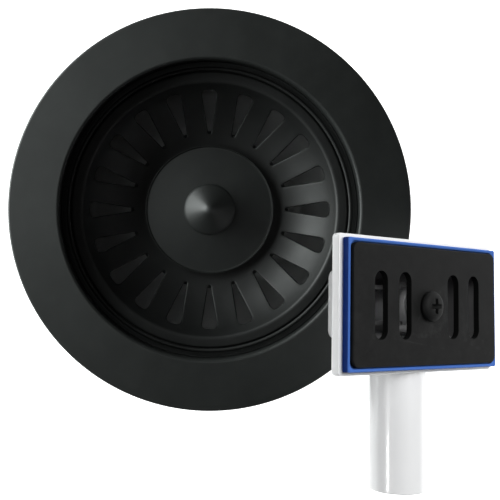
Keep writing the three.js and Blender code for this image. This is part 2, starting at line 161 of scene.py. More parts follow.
def head_place() -> Matrix:
    """Place of the overflow head: its Z is the plate's normal and its -Y runs down the pipe.

    Returns:
        The matrix from the head's own millimetres to the row frame's metres.
    """
    normal = Vector(joint("plate_off")["axis"]).normalized()
    up = -Vector(mount("overflow_pipe_end")["axis"])
    side = up.cross(normal).normalized()
    up = normal.cross(side)
    centre = Vector(joint("face_screw_turn")["pos_m"])
    turn = Matrix((side, up, normal)).transposed().to_4x4()
    return Matrix.Translation(centre) @ turn @ Matrix.Scale(MM, 4)


ROW = Matrix.Scale(MM, 4)
HEAD_BODIES = ("overflow_head", "face_plate", "face_screw")


# ---- outlines ------------------------------------------------------------------------------------
def arc(centre: Point, radius: float, start: float, end: float, steps: int) -> list[Point]:
    """Points of an arc.

    Args:
        centre: its centre.
        radius: its radius.
        start: first angle in degrees.
        end: last angle in degrees.
        steps: number of chords.

    Returns:
        The points, both ends included.
    """
    angles = (math.radians(start + (end - start) * i / steps) for i in range(steps + 1))
    return [(centre[0] + radius * math.cos(a), centre[1] + radius * math.sin(a)) for a in angles]


def rounded(corners: Sequence[tuple]) -> list[Point]:
    """A closed outline whose corners are rounded where a third number gives a radius.

    Args:
        corners: points (x, y) or (x, y, radius).

    Returns:
        The outline's points.
    """
    result: list[Point] = []
    for i, corner in enumerate(corners):
        here = Vector(corner[:2])
        radius = corner[2] if len(corner) > 2 else 0.0
        if not radius:
            result.append((here.x, here.y))
            continue
        before = (Vector(corners[i - 1][:2]) - here).normalized()
        after = (Vector(corners[(i + 1) % len(corners)][:2]) - here).normalized()
        half = math.acos(max(-1.0, min(1.0, before.dot(after)))) / 2
        reach = radius / math.tan(half)
        centre = here + (before + after).normalized() * (radius / math.sin(half))
        first = here + before * reach - centre
        turn = math.pi - 2 * half
        side = 1.0 if before.x * after.y - before.y * after.x < 0 else -1.0
        steps = max(2, math.ceil(math.degrees(turn) / CORNER_STEP))
        for k in range(steps + 1):
            a = side * turn * k / steps
            x = first.x * math.cos(a) - first.y * math.sin(a)
            y = first.x * math.sin(a) + first.y * math.cos(a)
            result.append((centre.x + x, centre.y + y))
    return result


# ---- meshes --------------------------------------------------------------------------------------
def new_piece(name: str, verts: Sequence, faces: Sequence, place: Matrix = ROW) -> bpy.types.Object:
    """Makes an object from vertices and faces, joins what coincides and turns its faces outwards.

    Args:
        name: the object's name.
        verts: its vertices, in the place's own units.
        faces: its faces.
        place: the matrix to the row frame.

    Returns:
        The object, at the origin.
    """
    mesh = bpy.data.meshes.new(name)
    mesh.from_pydata([tuple(v) for v in verts], [], faces)
    mesh.transform(place)
    tidy(mesh)
    piece = bpy.data.objects.new(name, mesh)
    bpy.context.scene.collection.objects.link(piece)
    return piece


def tidy(mesh: bpy.types.Mesh, join: float = 2e-6) -> None:
    """Joins doubled vertices, drops empty faces and turns all faces outwards.

    Args:
        mesh: the mesh to work on.
        join: distance in metres under which vertices are one.
    """
    bm = bmesh.new()
    bm.from_mesh(mesh)
    bmesh.ops.remove_doubles(bm, verts=bm.verts, dist=join)
    bmesh.ops.dissolve_degenerate(bm, edges=bm.edges, dist=join / 4)
    bmesh.ops.recalc_face_normals(bm, faces=bm.faces)
    bm.to_mesh(mesh)
    bm.free()


def lathe(name: str, outline: Sequence[Point], segments: int = ROUND, place: Matrix = ROW) -> bpy.types.Object:
    """Turns a closed outline about Z.

    Args:
        name: the object's name.
        outline: points of radius and height.
        segments: number of sides.
        place: the matrix to the row frame.

    Returns:
        The turned piece.
    """
    verts = []
    for i in range(segments):
        angle = math.tau * i / segments
        verts += [(r * math.cos(angle), r * math.sin(angle), z) for r, z in outline]
    n = len(outline)
    faces = []
    for i in range(segments):
        j = (i + 1) % segments
        for k in range(n):
            m = (k + 1) % n
            if outline[k][0] > 0 or outline[m][0] > 0:
                faces.append((i * n + k, j * n + k, j * n + m, i * n + m))
    return new_piece(name, verts, faces, place)


def rectangle_ring(width: float, height: float, corner: float, z: float, steps: int = 8) -> list[tuple]:
    """Points of a rounded rectangle.

    Args:
        width: its whole width.
        height: its whole height.
        corner: radius of its corners.
        z: its height.
        steps: chords in each corner.

    Returns:
        The ring's points, counter-clockwise.
    """
    x, y = width / 2 - corner, height / 2 - corner
    ring = []
    for quarter, (sx, sy) in enumerate(((1, 1), (-1, 1), (-1, -1), (1, -1))):
        ring += arc((sx * x, sy * y), corner, 90 * quarter, 90 * quarter + 90, steps)
    return [(px, py, z) for px, py in ring]


def rectangle_sweep(
    name: str, sections: Sequence[tuple], place: Matrix, closed: bool = True
) -> bpy.types.Object:
    """Joins rounded rectangles into a solid, as a lathe does with circles.

    Args:
        name: the object's name.
        sections: (width, height, corner, z) of each ring in turn.
        place: the matrix to the row frame.
        closed: whether the last ring joins the first; if not, both ends are capped.

    Returns:
        The swept piece.
    """
    rings = [rectangle_ring(*section) for section in sections]
    n = len(rings[0])
    verts = [point for ring in rings for point in ring]
    faces = []
    for i in range(len(rings) - (0 if closed else 1)):
        j = (i + 1) % len(rings)
        for k in range(n):
            m = (k + 1) % n
            faces.append((i * n + k, i * n + m, j * n + m, j * n + k))
    if not closed:
        faces.append(tuple(range(n)))
        faces.append(tuple(range(len(verts) - n, len(verts))))
    return new_piece(name, verts, faces, place)


def shade(piece: bpy.types.Object, sharp: float = 40.0) -> bpy.types.Object:
    """Smooth shading that keeps flat faces flat.

    Args:
        piece: the piece.
        sharp: angle in degrees above which an edge is drawn sharp.

    Returns:
        The same piece.
    """
    for polygon in piece.data.polygons:
        polygon.use_smooth = True
    piece.data.set_sharp_from_angle(angle=math.radians(sharp))
    weighted = piece.modifiers.new("weighted_normals", "WEIGHTED_NORMAL")
    weighted.keep_sharp = True
    return piece


def settled(piece: bpy.types.Object) -> bpy.types.Object:
    """Applies a piece's modifiers.

    Args:
        piece: the piece with modifiers.

    Returns:
        The same piece, its mesh final and its modifiers gone.
    """
    graph = bpy.context.evaluated_depsgraph_get()
    graph.update()
    mesh = bpy.data.meshes.new_from_object(piece.evaluated_get(graph))
    piece.modifiers.clear()
    old = piece.data
    piece.data = mesh
    bpy.data.meshes.remove(old)
    mesh.name = piece.name
    return piece


def combine(piece: bpy.types.Object, tool: bpy.types.Object, how: str) -> bpy.types.Object:
    """Joins a tool to a piece, or cuts the piece with it, and removes the tool.

    Args:
        piece: the piece.
        tool: the closed shape.
        how: UNION or DIFFERENCE.

    Returns:
        The same piece.
    """
    modifier = piece.modifiers.new("cut", "BOOLEAN")
    modifier.operation = how
    modifier.solver = "MANIFOLD"
    modifier.object = tool
    settled(piece)
    bpy.data.objects.remove(tool)
    tidy(piece.data)
    return piece


# ---- pierced shells ------------------------------------------------------------------------------
@dataclass(frozen=True)
class Slot:
    """A tapered slot with a small round tip and a wide, squarish end.

    Args:
        inner: radius of its tip.
        outer: radius of its wide end.
        tip: half its width at the tip.
        wide: half its width at the wide end.
        end: length over which the wide end is rounded.
        square: how square that rounding is; 2 is an ellipse.
    """

    inner: float
    outer: float
    tip: float
    wide: float
    end: float
    square: float = 2.5

    def half(self) -> list[Point]:
        """Half of the slot's outline, from its tip to its wide end, as radius and half width."""
        power = 2 / self.square
        points = [(self.inner + self.tip * (1 - math.cos(a)), self.tip * math.sin(a))
                  for a in (math.radians(90 * i / 6) for i in range(7))]
        run_start, run_end = self.inner + self.tip, self.outer - self.end
        for i in range(1, 12):
            t = i / 12
            points.append((run_start + (run_end - run_start) * t, self.tip + (self.wide - self.tip) * t))
        for i in range(13):
            a = math.radians(90 * i / 12)
            reach = self.end * math.sin(a) ** power
            points.append((run_end + reach, self.wide * max(0.0, math.cos(a)) ** power if i < 12 else 0.0))
        return points


def offset_half(points: Sequence[Point], distance: float) -> list[Point]:
    """Widens half an outline by a distance along its own normals.

    Args:
        points: the half outline.
        distance: how far to widen it.

    Returns:
        The widened half outline.
    """
    result = []
    last = len(points) - 1
    for i, (r, w) in enumerate(points):
        if i == 0:
            result.append((r - distance, 0.0))
        elif i == last:
            result.append((r + distance, 0.0))
        else:
            along = Vector(points[i + 1]) - Vector(points[i - 1])
            normal = Vector((-along.y, along.x)).normalized()
            result.append((r + distance * normal.x, w + distance * normal.y))
    return result


@dataclass
class PiercedShell:
    """A turned shell with a ring of slots whose edges are rounded.

    Args:
        name: name of the piece.
        count: number of slots.
        slot: the slot.
        surface: height and slope of the top surface at a radius.
        thickness: of the shell where the slots are.
        edge: radius of the slots' rounded edges.
        outside: points from the top surface beyond the slots, round the rim, to the bottom surface.
        inside: points from the bottom surface within the slots, round the hole, to the top surface.
        columns: divisions between a slot's edge and the middle of its rib.
    """

    name: str
    count: int
    slot: Slot
    surface: Callable[[float], Point]
    thickness: float
    edge: float
    outside: list[Point]
    inside: list[Point]
    columns: int = 5

    def point(self, r: float, w: float, depth: float, side: float) -> tuple:
        """A point under the top surface.

        Args:
            r: radius on the top surface.
            w: distance from the slot's middle line.
            depth: distance below the top surface, along its normal.
            side: 1 or -1, the side of the middle line.

        Returns:
            The point.
        """
        radius, height = self.flat_point(r, depth)
        angle = side * math.asin(min(1.0, w / r))
        return radius * math.cos(angle), radius * math.sin(angle), height

    def sector(self) -> bpy.types.Object:
        """One slot with half a rib on each side."""
        true = self.slot.half()
        wide = offset_half(true, self.edge)
        half_angle = math.pi / self.count
        verts: list[tuple] = []
        faces: list[tuple] = []
        stations: list[tuple] = []
        for r, w in wide:
            stations.append((*self.flat_point(r, 0.0), w / r))
        stations += [(r, z, 0.0) for r, z in self.outside]
        for r, w in reversed(wide):
            stations.append((*self.flat_point(r, self.thickness), w / r))
        stations += [(r, z, 0.0) for r, z in self.inside]
        for side in (1, -1):
            base = len(verts)
            for r, z, start in stations:
                start = math.asin(min(1.0, start))
                for j in range(self.columns + 1):
                    a = side * (start + (half_angle - start) * j / self.columns)
                    verts.append((r * math.cos(a), r * math.sin(a), z))
            row = self.columns + 1
            for i in range(len(stations)):
                here, there = base + i * row, base + (i + 1) % len(stations) * row
                for j in range(self.columns):
                    faces.append((here + j, here + j + 1, there + j + 1, there + j))
            self.wall(true, side, verts, faces)
        return new_piece(self.name, verts, faces)

    def flat_point(self, r: float, depth: float) -> Point:
        """Radius and height of a point under the top surface.

        Args:
            r: radius on the top surface.
            depth: distance below it, along its normal.

        Returns:
            The radius and height.
        """
        z, slope = self.surface(r)
        return r + depth * math.sin(slope), z - depth * math.cos(slope)

    def wall(self, true: Sequence[Point], side: float, verts: list, faces: list) -> None:
        """Adds the slot's wall with its two rounded edges.

        Args:
            true: half of the slot's outline.
            side: 1 or -1, the side of the middle line.
            verts: list that takes the vertices.
            faces: list that takes the faces.
        """
        steps = 3
        turn = [math.pi / 2 * s / steps for s in range(steps + 1)]
        chain = [(self.edge * (1 - math.sin(a)), self.edge * (1 - math.cos(a))) for a in turn]
        chain += [(out, self.thickness - depth) for out, depth in reversed(chain)]
        base = len(verts)
        for out, depth in chain:
            for r, w in offset_half(true, out):
                verts.append(self.point(r, w, depth, side))
        n = len(true)
        for s in range(len(chain) - 1):
            for k in range(n - 1):
                a = base + s * n + k
                faces.append((a, a + 1, a + n + 1, a + n))

    def build(self) -> bpy.types.Object:
        """The whole shell, its sector repeated round the axis."""
        return radial_copies(self.sector(), self.count)


# ---- geometry nodes ------------------------------------------------------------------------------
def new_tree(name: str) -> bpy.types.NodeTree:
    """An empty geometry node tree with a Geometry output.

    Args:
        name: the tree's name.

    Returns:
        The tree.
    """
    tree = bpy.data.node_groups.new(name, "GeometryNodeTree")
    tree.interface.new_socket("Geometry", in_out="OUTPUT", socket_type="NodeSocketGeometry")
    return tree


def add_input(tree: bpy.types.NodeTree, name: str, kind: str, value: object = None) -> None:
    """Adds a named input to a tree.

    Args:
        tree: the tree.
        name: name of the input.
        kind: its socket type.
        value: its default value.
    """
    socket = tree.interface.new_socket(name, in_out="INPUT", socket_type=kind)
    if value is not None:
        socket.default_value = value


def finish_tree(tree: bpy.types.NodeTree, geometry: bpy.types.NodeSocket, source: bpy.types.Node) -> None:
    """Ends a tree in Realize Instances, Merge by Distance and Set Material.

    Args:
        tree: the tree.
        geometry: the socket with the geometry so far.
        source: the Group Input node.
    """
    nodes, links = tree.nodes, tree.links
    realize = nodes.new("GeometryNodeRealizeInstances")
    merge = nodes.new("GeometryNodeMergeByDistance")
    merge.inputs["Distance"].default_value = 1e-6
    dress = nodes.new("GeometryNodeSetMaterial")
    sink = nodes.new("NodeGroupOutput")
    links.new(geometry, realize.inputs["Geometry"])
    links.new(realize.outputs["Geometry"], merge.inputs["Geometry"])
    links.new(merge.outputs["Geometry"], dress.inputs["Geometry"])
    links.new(source.outputs["Material"], dress.inputs["Material"])
    links.new(dress.outputs["Geometry"], sink.inputs["Geometry"])


def radial_tree() -> bpy.types.NodeTree:
    """The tree that repeats a piece round Z: inputs Count, Start and Material."""
    found = bpy.data.node_groups.get("radial_copies")
    if found:
        return found
    tree = new_tree("radial_copies")
    add_input(tree, "Geometry", "NodeSocketGeometry")
    add_input(tree, "Count", "NodeSocketInt", 12)
    add_input(tree, "Start", "NodeSocketFloat", 0.0)
    add_input(tree, "Material", "NodeSocketMaterial")
    nodes, links = tree.nodes, tree.links
    source = nodes.new("NodeGroupInput")
    line = nodes.new("GeometryNodeMeshLine")
    line.inputs["Offset"].default_value = (0, 0, 0)
    index = nodes.new("GeometryNodeInputIndex")
    share = nodes.new("ShaderNodeMath")
    share.operation = "DIVIDE"
    turn = nodes.new("ShaderNodeMath")
    turn.operation = "MULTIPLY_ADD"
    turn.inputs[1].default_value = math.tau
    angle = nodes.new("ShaderNodeCombineXYZ")
    copies = nodes.new("GeometryNodeInstanceOnPoints")
    links.new(source.outputs["Count"], line.inputs["Count"])
    links.new(index.outputs[0], share.inputs[0])
    links.new(source.outputs["Count"], share.inputs[1])
    links.new(share.outputs[0], turn.inputs[0])
    links.new(source.outputs["Start"], turn.inputs[2])
    links.new(turn.outputs[0], angle.inputs["Z"])
    links.new(line.outputs["Mesh"], copies.inputs["Points"])
    links.new(source.outputs["Geometry"], copies.inputs["Instance"])
    links.new(angle.outputs[0], copies.inputs["Rotation"])
    finish_tree(tree, copies.outputs["Instances"], source)
    return tree


def thread_tree() -> bpy.types.NodeTree:
    """The tree that winds a screw thread: inputs Turns, Radius, Pitch, Ridge and Material."""
    found = bpy.data.node_groups.get("screw_thread")
    if found:
        return found
    tree = new_tree("screw_thread")
    add_input(tree, "Turns", "NodeSocketFloat", 4.0)
    add_input(tree, "Radius", "NodeSocketFloat", 0.01)
    add_input(tree, "Pitch", "NodeSocketFloat", 0.002)
    add_input(tree, "Ridge", "NodeSocketFloat", 0.0005)
    add_input(tree, "Material", "NodeSocketMaterial")
    nodes, links = tree.nodes, tree.links
    source = nodes.new("NodeGroupInput")
    height = nodes.new("ShaderNodeMath")
    height.operation = "MULTIPLY"
    spiral = nodes.new("GeometryNodeCurveSpiral")
    spiral.inputs["Resolution"].default_value = 64
    profile = nodes.new("GeometryNodeCurvePrimitiveCircle")
    profile.inputs["Resolution"].default_value = 6
    tube = nodes.new("GeometryNodeCurveToMesh")
    tube.inputs["Fill Caps"].default_value = True
    links.new(source.outputs["Turns"], height.inputs[0])
    links.new(source.outputs["Pitch"], height.inputs[1])
    links.new(source.outputs["Turns"], spiral.inputs["Rotations"])
    links.new(source.outputs["Radius"], spiral.inputs["Start Radius"])
    links.new(source.outputs["Radius"], spiral.inputs["End Radius"])
    links.new(height.outputs[0], spiral.inputs["Height"])
    links.new(source.outputs["Ridge"], profile.inputs["Radius"])
    links.new(spiral.outputs["Curve"], tube.inputs["Curve"])
    links.new(profile.outputs["Curve"], tube.inputs["Profile Curve"])
    finish_tree(tree, tube.outputs["Mesh"], source)
    return tree


def run_tree(piece: bpy.types.Object, tree: bpy.types.NodeTree, **values: object) -> bpy.types.Object:
    """Runs a geometry node tree on a piece and keeps its result as a plain mesh.

    Args:
        piece: the piece.
        tree: the tree.
        values: values of the tree's inputs, by name.

    Returns:
        The same piece.
    """
    modifier = piece.modifiers.new(tree.name, "NODES")
    modifier.node_group = tree
    for socket in tree.interface.items_tree:
        if socket.in_out == "INPUT" and socket.name in values:
            modifier[socket.identifier] = values[socket.name]
    return settled(piece)


def radial_copies(piece: bpy.types.Object, count: int, start: float = 0.0) -> bpy.types.Object:
    """Repeats a piece round Z.

    Args:
        piece: the piece.
        count: number of copies.
        start: angle of the first, in degrees.

    Returns:
        The same piece, repeated.
    """
    run_tree(piece, radial_tree(), Count=count, Start=math.radians(start))
    tidy(piece.data)
    return piece


def thread(name: str, radius: float, pitch: float, low: float, high: float, ridge: float,
           place: Matrix = ROW) -> bpy.types.Object:
    """A screw thread about Z.

    Args:
        name: the object's name.
        radius: radius of the ridge's middle line, in millimetres.
        pitch: rise for each turn.
        low: height where it starts.
        high: height where it ends.
        ridge: half the ridge's size.
        place: the matrix to the row frame.

    Returns:
        The thread.
    """
    mesh = bpy.data.meshes.new(name)
    piece = bpy.data.objects.new(name, mesh)
    bpy.context.scene.collection.objects.link(piece)
    turns = (high - low) / pitch
    run_tree(piece, thread_tree(), Turns=turns, Radius=radius, Pitch=pitch, Ridge=ridge)
    piece.data.transform(place @ Matrix.Translation((0, 0, low)))
    return piece


# ---- shader graphs -------------------------------------------------------------------------------
@dataclass(frozen=True)
class Graph:
    """A node tree and short ways to add nodes to it.

    Args:
        tree: the tree.
    """

    tree: bpy.types.NodeTree

    def add(self, kind: str, settings: dict | None = None, inputs: dict | None = None) -> bpy.types.Node:
        """Adds a node.

        Args:
            kind: the node's type.
            settings: the node's own properties.
            inputs: values or sockets for its inputs, by name or number.

        Returns:
            The node.
        """
        node = self.tree.nodes.new(kind)
        for key, value in (settings or {}).items():
            setattr(node, key, value)
        for key, value in (inputs or {}).items():
            if isinstance(value, bpy.types.NodeSocket):
                self.tree.links.new(value, node.inputs[key])
            else:
                node.inputs[key].default_value = value
        return node

    def math(self, operation: str, a: object, b: object = 0.0, clamp: bool = False) -> bpy.types.NodeSocket:
        """Adds a Math node.

        Args:
            operation: its operation.
            a: first value or socket.
            b: second value or socket.
            clamp: whether to keep the result between 0 and 1.

        Returns:
            Its output.
        """
        settings = {"operation": operation, "use_clamp": clamp}
        return self.add("ShaderNodeMath", settings, {0: a, 1: b}).outputs[0]

    def span(self, value: bpy.types.NodeSocket, low: float, high: float, to_low: float = 0.0,
             to_high: float = 1.0) -> bpy.types.NodeSocket:
        """Adds a clamped Map Range node.

        Args:
            value: the socket to map.
            low: start of its range.
            high: end of its range.
            to_low: value at the start.
            to_high: value at the end.

        Returns:
            The mapped value.
        """
        inputs = {"Value": value, "From Min": low, "From Max": high, "To Min": to_low, "To Max": to_high}
        return self.add("ShaderNodeMapRange", {"clamp": True}, inputs).outputs[0]

    def noise(self, vector: object, scale: object, detail: float = 2.0,
              rough: float = 0.5) -> bpy.types.NodeSocket:
        """Adds a Noise Texture node.

        Args:
            vector: where it is read.
            scale: its scale.
            detail: its detail.
            rough: its roughness.

        Returns:
            Its value.
        """
        inputs = {"Vector": vector, "Scale": scale, "Detail": detail, "Roughness": rough}
        return self.add("ShaderNodeTexNoise", None, inputs).outputs[0]


def new_group(name: str, inputs: Sequence[tuple[str, str, object]], outputs: Sequence[str]) -> tuple:
    """Starts a shader node group.

    Args:
        name: the group's name.
        inputs: name, socket type and default of each input.
        outputs: names of its value outputs.

    Returns:
        The graph, the Group Input node and the Group Output node.
    """
    tree = bpy.data.node_groups.new(name, "ShaderNodeTree")
    for title, kind, value in inputs:
        socket = tree.interface.new_socket(title, in_out="INPUT", socket_type=kind)
        if value is not None:
            socket.default_value = value
    for title in outputs:
        tree.interface.new_socket(title, in_out="OUTPUT", socket_type="NodeSocketFloat")
    return Graph(tree), tree.nodes.new("NodeGroupInput"), tree.nodes.new("NodeGroupOutput")


def sprayed_grain() -> bpy.types.NodeTree:
    """Group: the fine orange peel of a sprayed and baked coat."""
    graph, source, sink = new_group(
        "sprayed_grain",
        [("Vector", "NodeSocketVector", None), ("Scale", "NodeSocketFloat", 2500.0)], ["Height"])
    fine = graph.noise(source.outputs["Vector"], source.outputs["Scale"], 2.0, 0.6)
    third = graph.math("MULTIPLY", source.outputs["Scale"], 0.3)
    broad = graph.noise(source.outputs["Vector"], third, 1.0)
    height = graph.math("MULTIPLY_ADD", broad, 0.8)
    graph.tree.links.new(fine, height.node.inputs[2])
    graph.tree.links.new(height, sink.inputs["Height"])
    return graph.tree


def moulded_grain() -> bpy.types.NodeTree:
    """Group: the spark-eroded grain of a moulded part."""
    graph, source, sink = new_group(
        "moulded_grain",
        [("Vector", "NodeSocketVector", None), ("Scale", "NodeSocketFloat", 1500.0)], ["Height"])
    cells = graph.add("ShaderNodeTexVoronoi", {"feature": "SMOOTH_F1"},
                      {"Vector": source.outputs["Vector"], "Scale": source.outputs["Scale"], "Smoothness": 0.6})
    fine = graph.noise(source.outputs["Vector"], graph.math("MULTIPLY", source.outputs["Scale"], 2.7), 1.0)
    height = graph.math("MULTIPLY_ADD", cells.outputs["Distance"], 0.8)
    graph.tree.links.new(fine, height.node.inputs[2])
    graph.tree.links.new(height, sink.inputs["Height"])
    return graph.tree


def spun_grain() -> bpy.types.NodeTree:
    """Group: fine rings left by turning or spinning about Z."""
    graph, source, sink = new_group(
        "spun_grain", [("Vector", "NodeSocketVector", None), ("Scale", "NodeSocketFloat", 3000.0)], ["Height"])
    parts = graph.add("ShaderNodeSeparateXYZ", None, {0: source.outputs["Vector"]})
    flat = graph.add("ShaderNodeCombineXYZ", None, {"X": parts.outputs["X"], "Y": parts.outputs["Y"]})
    reach = graph.add("ShaderNodeVectorMath", {"operation": "LENGTH"}, {0: flat.outputs[0]}).outputs["Value"]
    line = graph.math("ADD", reach, parts.outputs["Z"])
    rings = graph.add("ShaderNodeTexNoise", {"noise_dimensions": "1D"},
                      {"W": line, "Scale": source.outputs["Scale"], "Detail": 3.0})
    graph.tree.links.new(rings.outputs[0], sink.inputs["Height"])
    return graph.tree


def mottle_group() -> bpy.types.NodeTree:
    """Group: slow cloudy variation over a surface."""
    graph, source, sink = new_group(
        "mottle", [("Vector", "NodeSocketVector", None), ("Scale", "NodeSocketFloat", 40.0)], ["Mask"])
    cloud = graph.noise(source.outputs["Vector"], source.outputs["Scale"], 4.0, 0.55)
    graph.tree.links.new(graph.span(cloud, 0.3, 0.7), sink.inputs["Mask"])
    return graph.tree


def edge_wear_group() -> bpy.types.NodeTree:
    """Group: a mask on convex edges, broken up so that it looks rubbed."""
    graph, source, sink = new_group(
        "edge_wear", [("Vector", "NodeSocketVector", None), ("Scale", "NodeSocketFloat", 400.0),
                      ("Amount", "NodeSocketFloat", 0.5)], ["Mask"])
    edges = graph.add("ShaderNodeNewGeometry").outputs["Pointiness"]
    rim = graph.span(edges, 0.52, 0.6)
    rub = graph.span(graph.noise(source.outputs["Vector"], source.outputs["Scale"], 4.0, 0.65), 0.45, 0.7)
    mask = graph.math("MULTIPLY", graph.math("MULTIPLY", rim, rub), source.outputs["Amount"], True)
    graph.tree.links.new(mask, sink.inputs["Mask"])
    return graph.tree


def dust_group() -> bpy.types.NodeTree:
    """Group: a light film of dust on what faces up."""
    graph, source, sink = new_group(
        "dust", [("Vector", "NodeSocketVector", None), ("Normal", "NodeSocketVector", None),
                 ("Scale", "NodeSocketFloat", 180.0), ("Amount", "NodeSocketFloat", 0.1)], ["Mask"])
    up = graph.add("ShaderNodeSeparateXYZ", None, {0: source.outputs["Normal"]}).outputs["Z"]
    lying = graph.span(up, 0.3, 1.0)
    cloud = graph.span(graph.noise(source.outputs["Vector"], source.outputs["Scale"], 5.0, 0.6), 0.4, 0.8)
    mask = graph.math("MULTIPLY", graph.math("MULTIPLY", lying, cloud), source.outputs["Amount"], True)
    graph.tree.links.new(mask, sink.inputs["Mask"])
    return graph.tree


class Grain(Enum):
    """Kinds of surface grain and the group that makes each."""

    SPRAYED = "sprayed_grain"
    MOULDED = "moulded_grain"
    SPUN = "spun_grain"


GROUP_MAKERS: dict[str, Callable[[], bpy.types.NodeTree]] = {
    "sprayed_grain": sprayed_grain,
    "moulded_grain": moulded_grain,
    "spun_grain": spun_grain,
    "mottle": mottle_group,
    "edge_wear": edge_wear_group,
    "dust": dust_group,
}


def shared_group(name: str) -> bpy.types.NodeTree:
    """Finds a shader group, and makes it the first time.

    Args:
        name: the group's name.

    Returns:
        The group.
    """
    return bpy.data.node_groups.get(name) or GROUP_MAKERS[name]()


@dataclass(frozen=True)
class Finish:
    """A surface finish.

    Args:
        name: name of the material.
        color: its colour.
        roughness: its roughness.
        grain: its kind of grain.
        metallic: 0 or 1.
        specular: specular level of a plain surface.
        coat: weight of a clear coat.
        coat_roughness: roughness of that coat.
        grain_scale: scale of the grain, per metre.
        grain_depth: depth of the grain, in millimetres.
        grain_strength: strength of the bump.
        shade: how much lighter and darker the clouds are.
        wear: how much of the edges is rubbed.
        wear_color: colour of rubbed edges.
        dust: how much dust lies on it.
        painted_light_below: height in millimetres below which the colour is painted light grey, standing in for
            light seen through openings above.
        painted_light_color: the colour of that painted light.
    """

    name: str
    color: tuple[float, float, float]
    roughness: float
    grain: Grain = Grain.MOULDED
    metallic: float = 0.0
    specular: float = 0.5
    coat: float = 0.0
    coat_roughness: float = 0.1
    grain_scale: float = 1500.0
    grain_depth: float = 0.02
    grain_strength: float = 0.5
    shade: float = 0.15
    wear: float = 0.3
    wear_color: tuple[float, float, float] = (0.1, 0.1, 0.1)
    dust: float = 0.02
    painted_light_below: float | None = None
    painted_light_color: tuple[float, float, float] = (0.2, 0.2, 0.2)

    def material(self) -> bpy.types.Material:
        """The finish's material, made the first time it is asked for."""
        found = bpy.data.materials.get(self.name)
        if found:
            return found
        material = bpy.data.materials.new(self.name)
        material.use_nodes = True
        graph = Graph(material.node_tree)
        shader = material.node_tree.nodes["Principled BSDF"]
        place = graph.add("ShaderNodeTexCoord")
        where = place.outputs["Object"]

        def effect(name: str, inputs: dict) -> bpy.types.NodeSocket:
            """Places a shared group and returns its output."""
            settings = {"node_tree": shared_group(name)}
            return graph.add("ShaderNodeGroup", settings, {"Vector": where, **inputs}).outputs[0]

        cloud = effect("mottle", {"Scale": 60.0})
        wear = effect("edge_wear", {"Scale": 500.0, "Amount": self.wear})
        dust = effect("dust", {"Normal": place.outputs["Normal"], "Scale": 220.0, "Amount": self.dust})
        height = effect(self.grain.value, {"Scale": self.grain_scale})
        dark = tuple(c * (1 - self.shade) for c in self.color) + (1.0,)
        light = tuple(min(1.0, c * (1 + self.shade)) for c in self.color) + (1.0,)
        color = self.blend(graph, cloud, dark, light)
        # Painted light: below the given height the colour blends to a light grey that stands in for the light
        # seen through the basket's slots.
        if self.painted_light_below is not None:
            height_z = graph.add("ShaderNodeSeparateXYZ", None, {0: where}).outputs["Z"]
            painted_light_mask = graph.span(height_z, (self.painted_light_below - 0.4) * MM, self.painted_light_below * MM, 1.0, 0.0)
            color = self.blend(graph, painted_light_mask, color, self.painted_light_color + (1.0,))
        color = self.blend(graph, wear, color, self.wear_color + (1.0,))
        color = self.blend(graph, dust, color, (0.5, 0.5, 0.48, 1.0))
        rough = graph.math("MULTIPLY_ADD", graph.math("SUBTRACT", height, 0.5), 0.06)
        base = graph.span(cloud, 0.0, 1.0, self.roughness * 0.93, self.roughness * 1.07)
        graph.tree.links.new(base, rough.node.inputs[2])
        bump = graph.add("ShaderNodeBump", None,
                         {"Strength": self.grain_strength, "Distance": self.grain_depth * MM, "Height": height})
        graph.tree.links.new(color, shader.inputs["Base Color"])
        graph.tree.links.new(rough, shader.inputs["Roughness"])
        graph.tree.links.new(bump.outputs[0], shader.inputs["Normal"])
        shader.inputs["Metallic"].default_value = self.metallic
        shader.inputs["Specular IOR Level"].default_value = self.specular
        shader.inputs["Coat Weight"].default_value = self.coat
        shader.inputs["Coat Roughness"].default_value = self.coat_roughness
        return material

    def blend(self, graph: Graph, mask: object, low: object, high: object) -> bpy.types.NodeSocket:
        """Mixes two colours by a mask.

        Args:
            graph: the material's graph.
            mask: the mask.
            low: colour where the mask is 0.
            high: colour where it is 1.

        Returns:
            The mixed colour.
        """
        mix = graph.add("ShaderNodeMix", {"data_type": "RGBA"}, {0: mask, 6: low, 7: high})
        return mix.outputs[2]


SATIN_BLACK = Finish(
    "satin_black_coat", (0.0135, 0.0148, 0.0142), 0.42, Grain.SPRAYED, specular=0.45, grain_scale=2600.0,
    grain_depth=0.012, grain_strength=0.35, shade=0.1, wear=0.25, wear_color=(0.045, 0.047, 0.046), dust=0.01)
# Painted light: the cup's inside below -7.5 mm is light grey, standing in for the light seen through the
# basket's slots; the coat itself is black all over.
CUP_BLACK = replace(SATIN_BLACK, name="satin_black_cup", painted_light_below=-7.5, painted_light_color=(0.52, 0.52, 0.52))
KNOB_BLACK = replace(SATIN_BLACK, name="satin_black_knob", specular=0.7, roughness=0.45)
PLATE_BLACK = replace(SATIN_BLACK, name="satin_black_plate", color=(0.007, 0.0072, 0.0072), specular=0.07,
                      roughness=0.5)
